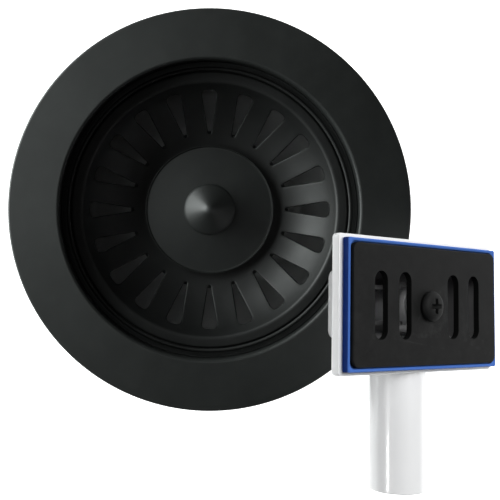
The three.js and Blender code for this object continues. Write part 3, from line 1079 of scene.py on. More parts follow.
# A darker copy of the satin black coat for the bowl: painted shade, standing in for the shade that falls in the
# bowl.
SHADED_BOWL_BLACK = Finish(
    "dark_bowl_coat", (0.006, 0.0066, 0.0064), 0.5, Grain.SPRAYED, specular=0.6, grain_scale=2400.0,
    grain_depth=0.012, grain_strength=0.35, shade=0.12, wear=0.3, wear_color=(0.04, 0.041, 0.041), dust=0.008)
BLACK_PLASTIC = Finish(
    "black_moulded_plastic", (0.014, 0.0145, 0.015), 0.5, Grain.MOULDED, grain_scale=1500.0, grain_depth=0.04,
    grain_strength=0.5, wear=0.4, wear_color=(0.06, 0.06, 0.062), dust=0.03)
LINER_BLACK = replace(BLACK_PLASTIC, name="black_liner_plastic", color=(0.17, 0.17, 0.172))
# A lighter copy of black plastic for the stopper holder: painted light, standing in for the light seen through
# the basket's slots.
STOPPER_PLASTIC = replace(BLACK_PLASTIC, name="worn_black_plastic", color=(0.06, 0.06, 0.06))
BLACK_RUBBER = Finish(
    "black_rubber", (0.011, 0.011, 0.0115), 0.72, Grain.MOULDED, specular=0.35, grain_scale=2600.0,
    grain_depth=0.03, grain_strength=0.6, wear=0.2, wear_color=(0.05, 0.05, 0.05), dust=0.05)
# A lighter copy of black rubber for the stopper seal: painted light, standing in for the light seen through the
# basket's slots.
STOPPER_RUBBER = replace(BLACK_RUBBER, name="worn_black_rubber", color=(0.07, 0.07, 0.07))
GREY_RUBBER = Finish(
    "grey_rubber", (0.045, 0.048, 0.051), 0.7, Grain.MOULDED, specular=0.35, grain_scale=2600.0,
    grain_depth=0.03, grain_strength=0.6, wear=0.2, wear_color=(0.12, 0.12, 0.125), dust=0.05)
BLUE_SILICONE = Finish(
    "blue_silicone", (0.07, 0.2, 0.58), 0.42, Grain.SPRAYED, grain_scale=1800.0, grain_depth=0.015,
    grain_strength=0.3, shade=0.08, wear=0.3, wear_color=(0.16, 0.3, 0.68), dust=0.01)
# A darker copy of the blue silicone: painted shade for the gasket's outer sides.
SIDE_SHADE_SILICONE = replace(BLUE_SILICONE, name="navy_silicone", color=(0.004, 0.022, 0.14), specular=0.05,
                        wear_color=(0.01, 0.04, 0.2))
WHITE_PLASTIC = Finish(
    "gloss_white_plastic", (0.83, 0.835, 0.84), 0.3, Grain.SPRAYED, coat=0.35, coat_roughness=0.05,
    grain_scale=900.0, grain_depth=0.008, grain_strength=0.2, shade=0.015, wear=0.1,
    wear_color=(0.9, 0.9, 0.9), dust=0.0)
BRASS = Finish(
    "turned_brass", (0.62, 0.43, 0.18), 0.3, Grain.SPUN, metallic=1.0, grain_scale=2600.0, grain_depth=0.02,
    grain_strength=0.4, shade=0.12, wear=0.4, wear_color=(0.85, 0.66, 0.34), dust=0.0)
STEEL = Finish(
    "turned_steel", (0.56, 0.565, 0.57), 0.28, Grain.SPUN, metallic=1.0, grain_scale=3200.0, grain_depth=0.02,
    grain_strength=0.4, shade=0.08, wear=0.4, wear_color=(0.75, 0.75, 0.76), dust=0.0)


# ---- more shapes ---------------------------------------------------------------------------------
def prism(name: str, outline: Sequence[Point], low: float, high: float,
          place: Matrix = ROW) -> bpy.types.Object:
    """Raises a flat outline.

    Args:
        name: the object's name.
        outline: its points.
        low: height of its bottom.
        high: height of its top.
        place: the matrix to the row frame.

    Returns:
        The prism.
    """
    n = len(outline)
    verts = [(x, y, z) for z in (low, high) for x, y in outline]
    faces = [(k, (k + 1) % n, n + (k + 1) % n, n + k) for k in range(n)]
    faces += [tuple(range(n)), tuple(range(n, 2 * n))]
    return new_piece(name, verts, faces, place)


def hexagon(name: str, corner: float, low: float, high: float, chamfer: float) -> bpy.types.Object:
    """A hexagonal block whose corners are turned off at both ends.

    Args:
        name: the object's name.
        corner: radius to its corners.
        low: height of its bottom.
        high: height of its top.
        chamfer: how much of the corners is turned off.

    Returns:
        The block.
    """
    steps = 72
    levels = ((low, True), (low + chamfer * 0.6, False), (high - chamfer * 0.6, False), (high, True))
    verts = []
    for z, turned in levels:
        for k in range(steps):
            angle = math.tau * k / steps
            reach = corner * math.cos(math.pi / 6) / math.cos(angle % (math.pi / 3) - math.pi / 6)
            reach = min(reach, corner - chamfer) if turned else reach
            verts.append((reach * math.cos(angle), reach * math.sin(angle), z))
    faces = []
    for i in range(len(levels) - 1):
        for k in range(steps):
            m = (k + 1) % steps
            faces.append((i * steps + k, i * steps + m, (i + 1) * steps + m, (i + 1) * steps + k))
    faces += [tuple(range(steps)), tuple(range(3 * steps, 4 * steps))]
    return new_piece(name, verts, faces)


def tube(name: str, outer: float, inner: float, low: float, high: float, edge: float = 0.2,
         segments: int = ROUND, place: Matrix = ROW) -> bpy.types.Object:
    """A ring with rounded edges.

    Args:
        name: the object's name.
        outer: outside radius.
        inner: inside radius; 0 makes a rod.
        low: height of its bottom.
        high: height of its top.
        edge: radius of its edges.
        segments: number of sides.
        place: the matrix to the row frame.

    Returns:
        The ring.
    """
    inside = [(inner, high, edge), (inner, low, edge)] if inner else [(0, high), (0, low)]
    return lathe(name, rounded([(outer, low, edge), (outer, high, edge), *inside]), segments, place)


def soften(piece: bpy.types.Object, width: float, segments: int = 2, angle: float = 35.0) -> bpy.types.Object:
    """Rounds a piece's sharp edges.

    Args:
        piece: the piece.
        width: width of the rounding, in millimetres.
        segments: its steps.
        angle: edges sharper than this are rounded, in degrees.

    Returns:
        The same piece.
    """
    bevel = piece.modifiers.new("soft_edges", "BEVEL")
    bevel.width = width * MM
    bevel.segments = segments
    bevel.limit_method = "ANGLE"
    bevel.angle_limit = math.radians(angle)
    bevel.use_clamp_overlap = True
    return settled(piece)


class Assembly:
    """A group of pieces that is built and dressed together."""

    def dress(self, piece: bpy.types.Object, node: str, body: str, slot: str, finish: Finish,
              sharp: float = 40.0) -> bpy.types.Object:
        """Gives a piece its finish and ties it to the frame.

        Args:
            piece: the finished shape.
            node: the CAD node that it stands for.
            body: the body that it rides on.
            slot: the record's material slot; not used.
            finish: its finish.
            sharp: angle above which an edge is drawn sharp.

        Returns:
            The same piece.
        """
        piece.data.materials.clear()
        piece.data.materials.append(finish.material())
        for polygon in piece.data.polygons:
            polygon.material_index = 0
        settled(shade(piece, sharp))
        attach(piece, body)
        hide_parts(node)
        log.info("%s: %d faces on %s", piece.name, len(piece.data.polygons), body)
        return piece


PORT_HEIGHT = joint("port_nut_turn")["pos_m"][2] / MM
PORT = ROW @ Matrix.Translation((0, 0, PORT_HEIGHT)) @ Matrix.Rotation(math.pi / 2, 4, "X")


@dataclass
class SinkFlange(Assembly):
    """The flange with its cup, and the seals above and below the sink.

    Args:
        throat: inside radius of the throat.
        lip: inside radius of the lip at the top of the throat.
        throat_round: radius that turns the flange down into the throat.
        relief: how far the throat widens below its lip.
        sheet: wall of the cup.
        under: height of the flange's underside.
        edge: radius of the flange's outer edge.
        edge_top: height of the flange at its outer edge.
        ledge: height of the ledge that the basket sits on.
        seat: radius of the hole in that ledge.
        floor: radius of the flat floor.
        wall_foot: height where the wall turns in towards the floor.
        windows: number of windows in the floor.
        window: their inner and outer radius.
        bar: width of the bars between them.
        hole: radius of the screw hole.
        draft: how far the wall draws in from the ledge to its foot.
        seal_inner: inside radius of the seal under the flange.
        seal_beads: radii of the beads on it.
        gasket_inner: inside radius of the gasket under the sink.
        gasket_grooves: radii of the grooves in it.
    """

    throat: float = 42.5
    lip: float = 42.2
    throat_round: float = 1.0
    relief: float = 0.7
    sheet: float = 1.6
    under: float = 1.5
    edge: float = 0.75
    edge_top: float = 3.1
    ledge: float = -5.6
    seat: float = 38.9
    floor: float = 29.0
    wall_foot: float = -27.0
    windows: int = 6
    window: tuple[float, float] = (9.0, 18.5)
    bar: float = 4.0
    hole: float = 3.3
    draft: float = 1.4
    seal_inner: float = 47.4
    seal_beads: tuple[float, ...] = (50.0, 53.5)
    gasket_inner: float = 44.0
    gasket_grooves: tuple[float, ...] = (50.6, 48.6, 46.6)

    def build(self) -> None:
        """Builds the flange cup and its two seals."""
        self.dress(self.cup(), "flange_cup", "waste", "satin_black", CUP_BLACK)
        self.dress(self.seal(), "flange_seal", "waste", "grey_rubber", GREY_RUBBER)
        self.dress(self.gasket(), "clamp_gasket", "waste", "black_rubber", BLACK_RUBBER)

    def cup(self) -> bpy.types.Object:
        """The flange and cup in one, with the windows cut in its floor."""
        box = NodeBox("flange_cup")
        low, outer, t = box.bottom, box.radius, self.sheet
        top = box.top - 0.1
        foot_in = self.seat - self.draft
        outline = rounded([
            (self.hole, low + t), (self.floor, low + t, 5), (foot_in, self.wall_foot, 8),
            (self.seat, self.ledge, 0.6), (self.throat + self.relief, self.ledge, 0.4),
            (self.throat + self.relief, -0.6, 0.3), (self.lip, 1.4, 0.4), (self.lip, top, self.throat_round),
            (outer, self.edge_top, self.edge), (outer, self.under, 0.4), (self.throat + t, self.under, 0.3),
            (self.throat + t, self.ledge - t, 0.5), (self.seat + t, self.ledge - t, 0.8),
            (foot_in + t, self.wall_foot - t / 2, 8), (self.floor + t / 2, low, 5), (self.hole, low),
        ])
        cup = lathe("flange_cup_shell", outline, FINE_ROUND)
        half = math.pi / self.windows
        inner, out = self.window
        sweep_in, sweep_out = (math.degrees(half - self.bar / 2 / r) for r in (inner, out))
        outline = arc((0, 0), out, -sweep_out, sweep_out, 12) + arc((0, 0), inner, sweep_in, -sweep_in, 8)
        cutter = radial_copies(prism("window_cutter", outline, low - t, low + 2 * t), self.windows)
        return combine(cup, cutter, "DIFFERENCE")

    def seal(self) -> bpy.types.Object:
        """The seal under the flange, with two raised beads on its lower face."""
        box = NodeBox("flange_seal")
        inner, outer, low, high = self.seal_inner, box.radius, box.bottom, box.top
        beads = []
        for r in self.seal_beads:
            beads += [(r - 0.8, low + 0.25), (r - 0.4, low), (r + 0.4, low), (r + 0.8, low + 0.25)]
        outline = rounded([(inner, low + 0.25, 0.2), *beads, (outer, low + 0.25, 0.2), (outer, high, 0.3),
                           (inner, high, 0.3)])
        return lathe("flange_seal_ring", outline)

    def gasket(self) -> bpy.types.Object:
        """The gasket under the sink, with grooves in its upper face."""
        box = NodeBox("clamp_gasket")
        inner, outer, low, high = self.gasket_inner, box.radius, box.bottom, box.top
        grooves = []
        for r in self.gasket_grooves:
            grooves += [(r + 0.5, high), (r + 0.25, high - 0.5), (r - 0.25, high - 0.5), (r - 0.5, high)]
        outline = rounded([(inner, low, 0.4), (outer, low, 0.4), (outer, high, 0.5), *grooves,
                           (inner, high, 0.4)])
        return lathe("clamp_gasket_ring", outline)


@dataclass
class LowerBody(Assembly):
    """The body under the sink, its outlet and overflow port, and the two nuts with their seals.

    Args:
        collar: thickness of the collar.
        chamber: outside radius of the chamber.
        wall: its wall.
        chamber_end: height where the funnel starts.
        funnel_end: height where the outlet starts.
        outlet: outside radius of the outlet's thread.
        pitch: pitch of that thread.
        port: outside radius of the overflow port.
        port_bore: its inside radius.
        ribs: number of ribs under the collar.
        rib_reach: radius that the ribs reach.
        rib_drop: how far they come down the chamber.
        boss: outside radius of the screw's boss.
        boss_bore: radius of the boss's bore, which holds the insert.
        outlet_seal: outside radius of the outlet seal's lower end, and its inside radius.
        port_seal: inside radius of the port's seal.
    """

    collar: float = 3.0
    chamber: float = 46.9
    wall: float = 2.5
    chamber_end: float = -44.0
    funnel_end: float = -56.0
    outlet: float = 23.9
    pitch: float = 3.0
    port: float = 11.5
    port_bore: float = 9.0
    ribs: int = 12
    rib_reach: float = 51.6
    rib_drop: float = 6.5
    boss: float = 8
    boss_bore: float = 4.8
    outlet_seal: tuple[float, float] = (22.2, 17.5)
    port_seal: float = 8.5

    def build(self) -> None:
        """Builds the body, the nuts and their seals."""
        self.dress(self.body(), "lower_body", "waste", "black_plastic", BLACK_PLASTIC)
        self.dress(self.outlet_nut(), "outlet_nut", "outlet_nut", "black_plastic", BLACK_PLASTIC)
        self.dress(self.port_nut(), "port_nut", "port_nut", "black_plastic", BLACK_PLASTIC)
        seal = NodeBox("outlet_seal")
        foot, bore = self.outlet_seal
        outline = rounded([(bore, seal.bottom, 0.2), (foot, seal.bottom, 0.3), (seal.radius, seal.top, 0.3),
                           (bore, seal.top, 0.2)])
        self.dress(lathe("outlet_seal_ring", outline), "outlet_seal", "waste", "grey_rubber", GREY_RUBBER)
        near, far = (-y for y in (NodeBox("port_seal").high.y, NodeBox("port_seal").low.y))
        ring = tube("port_seal_ring", NodeBox("port_seal").radius, self.port_seal, near, far, 0.3,
                    SMALL_ROUND, PORT)
        self.dress(ring, "port_seal", "waste", "grey_rubber", GREY_RUBBER)

    def body(self) -> bpy.types.Object:
        """The body with its funnel, threads, spider, port and ribs."""
        box = NodeBox("lower_body")
        top, end = box.top, box.bottom
        inner, bore, core = self.chamber - self.wall, self.outlet - 3.3, self.outlet - 0.8
        outline = rounded([
            (bore, end, 0.4), (core, end, 0.5), (core, self.funnel_end - 3.4),
            (self.outlet, self.funnel_end - 2.8, 0.3), (self.outlet, self.funnel_end, 3),
            (self.chamber, self.chamber_end, 5),
            (self.chamber, top - self.collar, 0.8), (box.radius, top - self.collar, 0.6),
            (box.radius, top, 0.6), (inner, top, 0.4), (inner, self.chamber_end + 1, 5),
            (bore, self.funnel_end + 1, 3),
        ])
        body = lathe("lower_body_shell", outline)
        combine(body, self.rib(top), "UNION")
        reach = -box.low.y
        port = tube("port_tube", self.port - 0.5, 0, inner + 1.2, reach, 0.4, SMALL_ROUND, PORT)
        combine(body, port, "UNION")
        ridge = thread("port_thread", self.port - 0.5, 2.0, reach - 7.6, reach - 0.8, 0.5, PORT)
        combine(body, ridge, "UNION")
        cutter = tube("port_cutter", self.port_bore, 0, inner - 3, reach + 1, 0, SMALL_ROUND, PORT)
        combine(body, cutter, "DIFFERENCE")
        ridge = thread("outlet_thread", core, self.pitch, end + 1, self.funnel_end - 5, 0.8)
        combine(body, ridge, "UNION")
        return self.spider(body)

    def rib(self, top: float) -> bpy.types.Object:
        """The ribs under the collar, all round.

        Args:
            top: height of the collar's top.

        Returns:
            The ribs.
        """
        high = top - self.collar + 0.6
        outline = [(self.chamber - 1, high), (self.rib_reach, high), (self.chamber - 1, high - self.rib_drop)]
        place = ROW @ Matrix.Rotation(math.pi / 2, 4, "X")
        return radial_copies(prism("collar_rib", outline, -1.1, 1.1, place), self.ribs, 180 / self.ribs)

    def spider(self, body: bpy.types.Object) -> bpy.types.Object:
        """Adds the two crossed bars and the boss for the screw.

        Args:
            body: the body.

        Returns:
            The same body.
        """
        top = NodeBox("flange_cup").bottom - GAP
        wall = self.chamber - 1.5
        outline = [(-wall, top), (wall, top), (wall, self.chamber_end + 0.5), (wall - 4, top - 8),
                   (4 - wall, top - 8), (-wall, self.chamber_end + 0.5)]
        for turn in (45, 135):
            place = ROW @ Matrix.Rotation(math.radians(turn), 4, "Z") @ Matrix.Rotation(math.pi / 2, 4, "X")
            combine(body, soften(prism("spider_bar", outline, -1.5, 1.5, place), 0.4), "UNION")
        combine(body, tube("screw_boss", self.boss, 0, top - 13, top, 0.8, SMALL_ROUND), "UNION")
        bore = tube("insert_cutter", self.boss_bore, 0, top - 10.6, top + 1, 0, SMALL_ROUND)
        return combine(body, bore, "DIFFERENCE")

    def nut(self, name: str, sizes: tuple[float, float, float], length: float, lip: float, ribs: int,
            place: Matrix) -> bpy.types.Object:
        """A round nut with grip ribs.

        Args:
            name: the object's name.
            sizes: outside radius over the ribs, radius of the bore, radius of the lip's hole.
            length: its length.
            lip: thickness of its lip, which is at height 0.
            ribs: number of ribs.
            place: the matrix to the row frame.

        Returns:
            The nut.
        """
        outer, bore, hole = sizes
        skin = outer - 1.2
        outline = rounded([
            (hole, 0, 0.3), (skin - 0.2, 0, 1.0), (skin, 1.4, 0.4), (skin, length - 1.6, 0.6),
            (skin - 0.5, length, 0.4), (bore, length, 0.4), (bore, lip), (hole, lip, 0.3),
        ])
        nut = lathe(name, outline, place=Matrix.Identity(4))
        radius = 1.35
        at = Matrix.Translation((outer - radius, 0, 0))
        grip = tube("grip_rib", radius, 0, 1.0, length - 1.0, 1.1, 16, at)
        combine(nut, radial_copies(grip, ribs), "UNION")
        nut.data.transform(place)
        return nut

    def outlet_nut(self) -> bpy.types.Object:
        """The nut on the outlet."""
        box = NodeBox("outlet_nut")
        place = ROW @ Matrix.Translation((0, 0, box.bottom))
        sizes = (box.radius, self.outlet + GAP, 18.5)
        return self.nut("outlet_nut_ring", sizes, box.top - box.bottom, 2.0, 16, place)

    def port_nut(self) -> bpy.types.Object:
        """The nut on the overflow port."""
        box = NodeBox("port_nut")
        length = box.high.y - box.low.y
        turn = Matrix.Translation((0, 0, -box.low.y)) @ Matrix.Rotation(math.pi, 4, "X")
        sizes = (box.radius, self.port + GAP, 9.5)
        return self.nut("port_nut_ring", sizes, length, 1.4, 12, PORT @ turn)


@dataclass
class FixingScrew(Assembly):
    """The screw that draws the body up to the cup, its washer, its insert and the sprung catch ring.

    Args:
        corner: radius to the corners of its head.
        socket: radius of the socket in its head.
        depth: depth of that socket.
        shank: radius of its shank.
        clip_down: from the top of the head to the foot of the catch ring.
        insert_bore: radius of the insert's bore.
        ring: radius of the middle of the catch ring's wire.
        ring_w: half the wire's width.
        opening: half the angle of the gap in the ring, in radians.
    """

    corner: float = 5.5
    socket: float = 3.6
    depth: float = 6.0
    shank: float = 2.7
    clip_down: float = 2.6
    insert_bore: float = 3.0
    ring: float = 3.375
    ring_w: float = 0.6
    opening: float = 0.5

    def build(self) -> None:
        """Builds the screw and the small parts on it."""
        screw = NodeBox("fixing_screw")
        washer = NodeBox("screw_washer")
        insert = NodeBox("thread_insert")
        head_low = washer.top + GAP
        self.dress(self.screw(screw, head_low), "fixing_screw", "waste", "steel", STEEL, 30.0)
        ring = tube("washer_ring", washer.radius, self.shank + 0.6, washer.bottom, washer.top, 0.2, SMALL_ROUND)
        self.dress(ring, "screw_washer", "waste", "steel", STEEL)
        self.dress(self.insert(insert), "thread_insert", "waste", "brass", BRASS)
        self.dress(self.catch(), "catch_ring", "catch", "steel", STEEL)

    def screw(self, box: NodeBox, head_low: float) -> bpy.types.Object:
        """The screw.

        Args:
            box: the screw's box.
            head_low: height of the underside of its head.

        Returns:
            The screw.
        """
        screw = hexagon("fixing_screw_body", self.corner, head_low, box.top, 0.5)
        shank = tube("shank", self.shank - 0.35, 0, box.bottom, head_low + 1, 0.5, SMALL_ROUND)
        combine(screw, shank, "UNION")
        ridge = thread("shank_thread", self.shank - 0.35, 1.0, box.bottom + 0.6, head_low - 0.6, 0.33)
        combine(screw, ridge, "UNION")
        top = box.top
        low = top - self.clip_down
        cutter = lathe("socket_cutter", [
            (0, top - self.depth), (self.socket, top - self.depth), (self.socket, low - GAP),
            (self.socket + 0.7, low - GAP), (self.socket + 0.7, low + 1 + GAP), (self.socket, low + 1 + GAP),
            (self.socket, top - 0.4), (self.socket + 0.5, top + 0.1), (0, top + 0.1)], SMALL_ROUND)
        return combine(screw, cutter, "DIFFERENCE")

    def insert(self, box: NodeBox) -> bpy.types.Object:
        """The threaded insert, with grooves that hold it in the boss."""
        outer, bore = box.radius, self.insert_bore
        root = outer - 0.3
        outline = [(bore, box.bottom), (root, box.bottom)]
        rings = 4
        step = (box.top - box.bottom - 0.6) / rings
        for i in range(rings):
            z = box.bottom + 0.3 + i * step
            outline += [(outer, z), (outer, z + step * 0.6), (root, z + step * 0.7), (root, z + step * 0.9)]
        outline += [(root, box.top), (bore, box.top)]
        return lathe("thread_insert_sleeve", outline, SMALL_ROUND)

    def catch(self) -> bpy.types.Object:
        """The split ring that grips the foot of the stem."""
        box = NodeBox("catch_ring")
        middle, z = self.ring, (box.bottom + box.top) / 2
        half_w, half_h = self.ring_w, (box.top - box.bottom) / 2
        section = rounded([(middle - half_w, z - half_h, 0.3), (middle + half_w, z - half_h, 0.3),
                           (middle + half_w, z + half_h, 0.3), (middle - half_w, z + half_h, 0.3)])
        opening, steps, n = self.opening, 48, len(section)
        verts = []
        for i in range(steps + 1):
            angle = opening + (math.tau - 2 * opening) * i / steps
            verts += [(r * math.cos(angle), r * math.sin(angle), h) for r, h in section]
        faces = [(i * n + k, i * n + n + k, i * n + n + (k + 1) % n, i * n + (k + 1) % n)
                 for i in range(steps) for k in range(n)]
        faces += [tuple(range(n)), tuple(range(steps * n, steps * n + n))]
        return new_piece("catch_ring_spring", verts, faces)


@dataclass
class Basket(Assembly):
    """The lift-out basket: slotted bowl, hub, knob, stem and stopper.

    Args:
        slots: number of slots.
        bowl: radius of the bowl's section.
        steep: slope where the bowl meets the rim, in degrees.
        flat: slope where it meets the hub, in degrees.
        wall: thickness of the bowl.
        rim_in: inside radius of the rim's flat band.
        band: outside radius of that band.
        bead: radius of the bead round the rim.
        stem_hole: radius of the hole for the stem.
        neck: radius of the knob's neck.
        hub_fall: how far the hub's face falls from the knob to the foot of its lip.
        knob_h: height of the knob, from its top to its underside.
        knob_tip: radius where its cone turns into its rounded tip.
        holder_neck: inside and outside radius of the stopper holder's neck.
        holder_t: thickness of the holder.
        stopper_w: width of the stopper seal.
        nut_flats: size of the stem's nut across its flats.
    """

    slots: int = 20
    bowl: float = 21.8
    steep: float = 60.0
    flat: float = 5.0
    wall: float = 1.2
    rim_in: float = 37.0
    band: float = 39.7
    bead: float = 0.6
    stem_hole: float = 2.8
    neck: float = 4.4
    hub_fall: float = 1.5
    knob_h: float = 6.5
    knob_tip: float = 1.6
    holder_neck: tuple[float, float] = (7.2, 9.0)
    holder_t: float = 2.0
    stopper_w: float = 6.2
    nut_flats: float = 8.0

    def build(self) -> None:
        """Builds the basket's pieces."""
        # The bowl takes a darker copy of the satin black coat: painted shade.
        self.dress(self.shell(), "basket_shell", "basket", "bowl_black", SHADED_BOWL_BLACK)
        self.dress(self.hub(), "hub_cap", "basket", "bowl_black", SATIN_BLACK)
        self.dress(self.knob(), "lift_knob", "basket", "satin_black", KNOB_BLACK)
        self.dress(self.stem(), "lift_stem", "basket", "steel", STEEL)
        sleeve = NodeBox("stem_sleeve")
        ring = tube("stem_sleeve_ring", sleeve.radius, self.stem_hole, sleeve.bottom, sleeve.top, 0.4,
                    SMALL_ROUND)
        self.dress(ring, "stem_sleeve", "basket", "black_plastic", BLACK_PLASTIC)
        # The stopper's holder and seal take lighter copies of their black finishes: painted light seen through
        # the slots.
        self.dress(self.holder(), "stopper_holder", "basket", "black_plastic", STOPPER_PLASTIC)
        self.dress(self.seal(), "stopper_seal", "basket", "black_rubber", STOPPER_RUBBER)
        nut = NodeBox("stem_nut")
        block = hexagon("stem_nut_block", self.nut_flats / math.sqrt(3), nut.bottom, nut.top, 0.35)
        combine(block, tube("nut_bore", self.stem_hole, 0, nut.bottom - 1, nut.top + 1, 0, 48), "DIFFERENCE")
        self.dress(block, "stem_nut", "basket", "brass", BRASS, 30.0)

    @property
    def centre(self) -> Point:
        """Centre of the bowl's section."""
        steep = math.radians(self.steep)
        top = NodeBox("basket_shell").top
        return self.rim_in - 0.5 - self.bowl * math.sin(steep), top - 0.9 + self.bowl * math.cos(steep)

    def surface(self, r: float) -> Point:
        """Height and slope of the bowl's inside at a radius.

        Args:
            r: the radius.

        Returns:
            The height and the slope in radians.
        """
        x, z = self.centre
        slope = math.asin((r - x) / self.bowl)
        return z - self.bowl * math.cos(slope), slope

    def shell(self) -> bpy.types.Object:
        """The slotted bowl with its banded and beaded rim."""
        box = NodeBox("basket_shell")
        top, edge = box.top, box.radius
        hub = NodeBox("hub_cap").radius
        slot = Slot(hub + 3.75, self.rim_in - 2.05, 0.5, 2.2, 1.5, 3.4)
        x, z = self.centre
        under = self.bowl + self.wall
        last = math.degrees(math.asin((slot.outer + 0.5 - x) / self.bowl))
        upper = arc((x, z), self.bowl, last - 90, self.steep - 90, 5)
        lower = arc((x, z), under, self.steep - 91, last - 90, 5)
        bead_r = edge - self.bead
        rim = [(self.rim_in - 0.28, top - 0.5), (self.rim_in, top - 0.22), (self.rim_in + 0.4, top - 0.06),
               (self.rim_in + 0.9, top), (self.band - 0.1, top), (self.band + 0.05, top - 0.1),
               (self.band + 0.12, top - 0.5), (self.band + 0.4, top - 0.6),
               *arc((bead_r, top - self.bead), self.bead, 200, 0, 10),
               (edge, top - 1.6), (edge - 0.3, top - 1.8), (self.rim_in + 1.2, top - 1.8),
               (self.rim_in + 0.6, top - 2.0)]
        first = math.degrees(math.asin((slot.inner - 0.6 - x) / self.bowl))
        bottom = arc((x, z), under, first - 90, self.flat - 90, 3)
        inner = arc((x, z), self.bowl, self.flat - 90, first - 90, 3)
        floor = z - self.bowl * math.cos(math.radians(self.flat))
        low = z - under * math.cos(math.radians(self.flat))
        middle = [(self.stem_hole, low), (self.stem_hole, floor)]
        shell = PiercedShell("basket_bowl", self.slots, slot, self.surface, self.wall, 0.28,
                             upper + rim + lower, bottom + middle + inner)
        return shell.build()

    def hub(self) -> bpy.types.Object:
        """The cap on the hub: a low rounded lip round a gently dished face."""
        box = NodeBox("hub_cap")
        r, low, top = box.radius, box.bottom, box.top
        lip = top - self.hub_fall + 0.4
        lip_w, trough, foot = 0.15, r - 0.55, top - self.hub_fall
        fall = r - lip_w - trough
        swell = [(r - lip_w - fall * i / 10, foot + (lip - foot) * (1 + math.cos(math.pi * i / 10)) / 2)
                 for i in range(1, 11)]
        outline = [
            (self.stem_hole, low), *arc((r - 0.4, low + 0.4), 0.4, -90, 0, 4),
            *arc((r - lip_w, lip - lip_w), lip_w, 0, 90, 8), *swell, (trough - 0.4, foot + 0.05),
            ((trough + self.neck) / 2, foot + self.hub_fall * 0.55),
            (self.neck + 0.4, top - 0.03), (self.stem_hole, top),
        ]
        return lathe("hub_cap_disc", outline, FINE_ROUND)

    def knob(self) -> bpy.types.Object:
        """The conical knob on its neck."""
        box = NodeBox("lift_knob")
        r, top, low = box.radius, box.top, box.bottom
        under = top - self.knob_h
        foot = under + 0.9
        height = top - foot
        tip = self.knob_tip
        slope = math.atan2(height, r)
        outline = [
            (0, under), (self.stem_hole, under), (self.stem_hole, low), (self.neck + 0.2, low),
            (self.neck, low + 0.4), (self.neck, under - 0.8), (self.neck + 0.3, under - 0.3),
            (self.neck + 0.9, under), (r - 0.5, under),
            *arc((r - 0.25, foot - 0.25), 0.25, -60, 90 - math.degrees(slope), 8),
        ]
        steps = 10
        for i in range(steps + 1):
            radius = r * 0.97 - (r * 0.97 - tip) * i / steps
            outline.append((radius, foot + height * (1 - radius / r) - 0.05 * math.sin(math.pi * i / steps)))
        rise = foot + height * (1 - tip / r)
        for i in range(1, 7):
            share = i / 6
            drop = height / r * tip
            outline.append((tip * (1 - share), rise + drop * (share - share * share / 2)))
        return lathe("lift_knob_cone", outline, 128)

    def stem(self) -> bpy.types.Object:
        """The stem, with a thread where its nut sits and a rounded foot."""
        box = NodeBox("lift_stem")
        nut = NodeBox("stem_nut")
        r, low, high = box.radius, box.bottom, box.top
        outline = rounded([(0, low), (r, low, 1.2), (r, nut.bottom - 2.6, 0.2), (r - 0.3, nut.bottom - 2.2),
                           (r - 0.3, nut.top + 1.4), (r, nut.top + 1.7, 0.2), (r, high, 0.3), (0, high)])
        stem = lathe("lift_stem_rod", outline, SMALL_ROUND)
        ridge = thread("stem_thread", r - 0.3, 0.8, nut.bottom - 2, nut.top + 1.2, 0.28)
        return combine(stem, ridge, "UNION")

    def holder(self) -> bpy.types.Object:
        """The holder of the stopper seal, with webs from its foot to its neck."""
        box = NodeBox("stopper_holder")
        foot, low, top = box.radius, box.bottom, box.top
        (inner, outer), t = self.holder_neck, self.holder_t
        outline = rounded([
            (self.stem_hole, top - t), (inner, top - t, 0.4), (inner, low, 0.3), (foot, low, 0.5),
            (foot, low + t, 0.7), (outer, low + t, 1.0), (outer, top, 0.8), (self.stem_hole, top)])
        holder = lathe("stopper_holder_body", outline)
        place = ROW @ Matrix.Rotation(math.pi / 2, 4, "X")
        outline = [(outer - 1, low + t - 0.5), (foot - 3, low + t - 0.5), (foot - 3.4, low + t + 0.8),
                   (outer, top - 2.2), (outer - 1, top - 2.2)]
        web = soften(prism("holder_web", outline, -0.8, 0.8, place), 0.2)
        return combine(holder, radial_copies(web, 8), "UNION")

    def seal(self) -> bpy.types.Object:
        """The stopper seal, with a soft lip round its edge and a bead below."""
        box = NodeBox("stopper_seal")
        outer, low, high = box.radius, box.bottom, box.top
        inner = outer - self.stopper_w
        outline = rounded([
            (inner, low + 0.5, 0.3), (inner + 1.6, low + 0.5, 0.2), (inner + 2.2, low, 0.3),
            (inner + 3.2, low, 0.3), (inner + 3.8, low + 0.5, 0.2), (outer - 0.9, low + 0.5, 0.3),
            (outer, low + 0.2, 0.3), (outer, high - 0.4, 0.4), (outer - 1.4, high, 0.6), (inner, high, 0.3)])
        return lathe("stopper_seal_ring", outline)


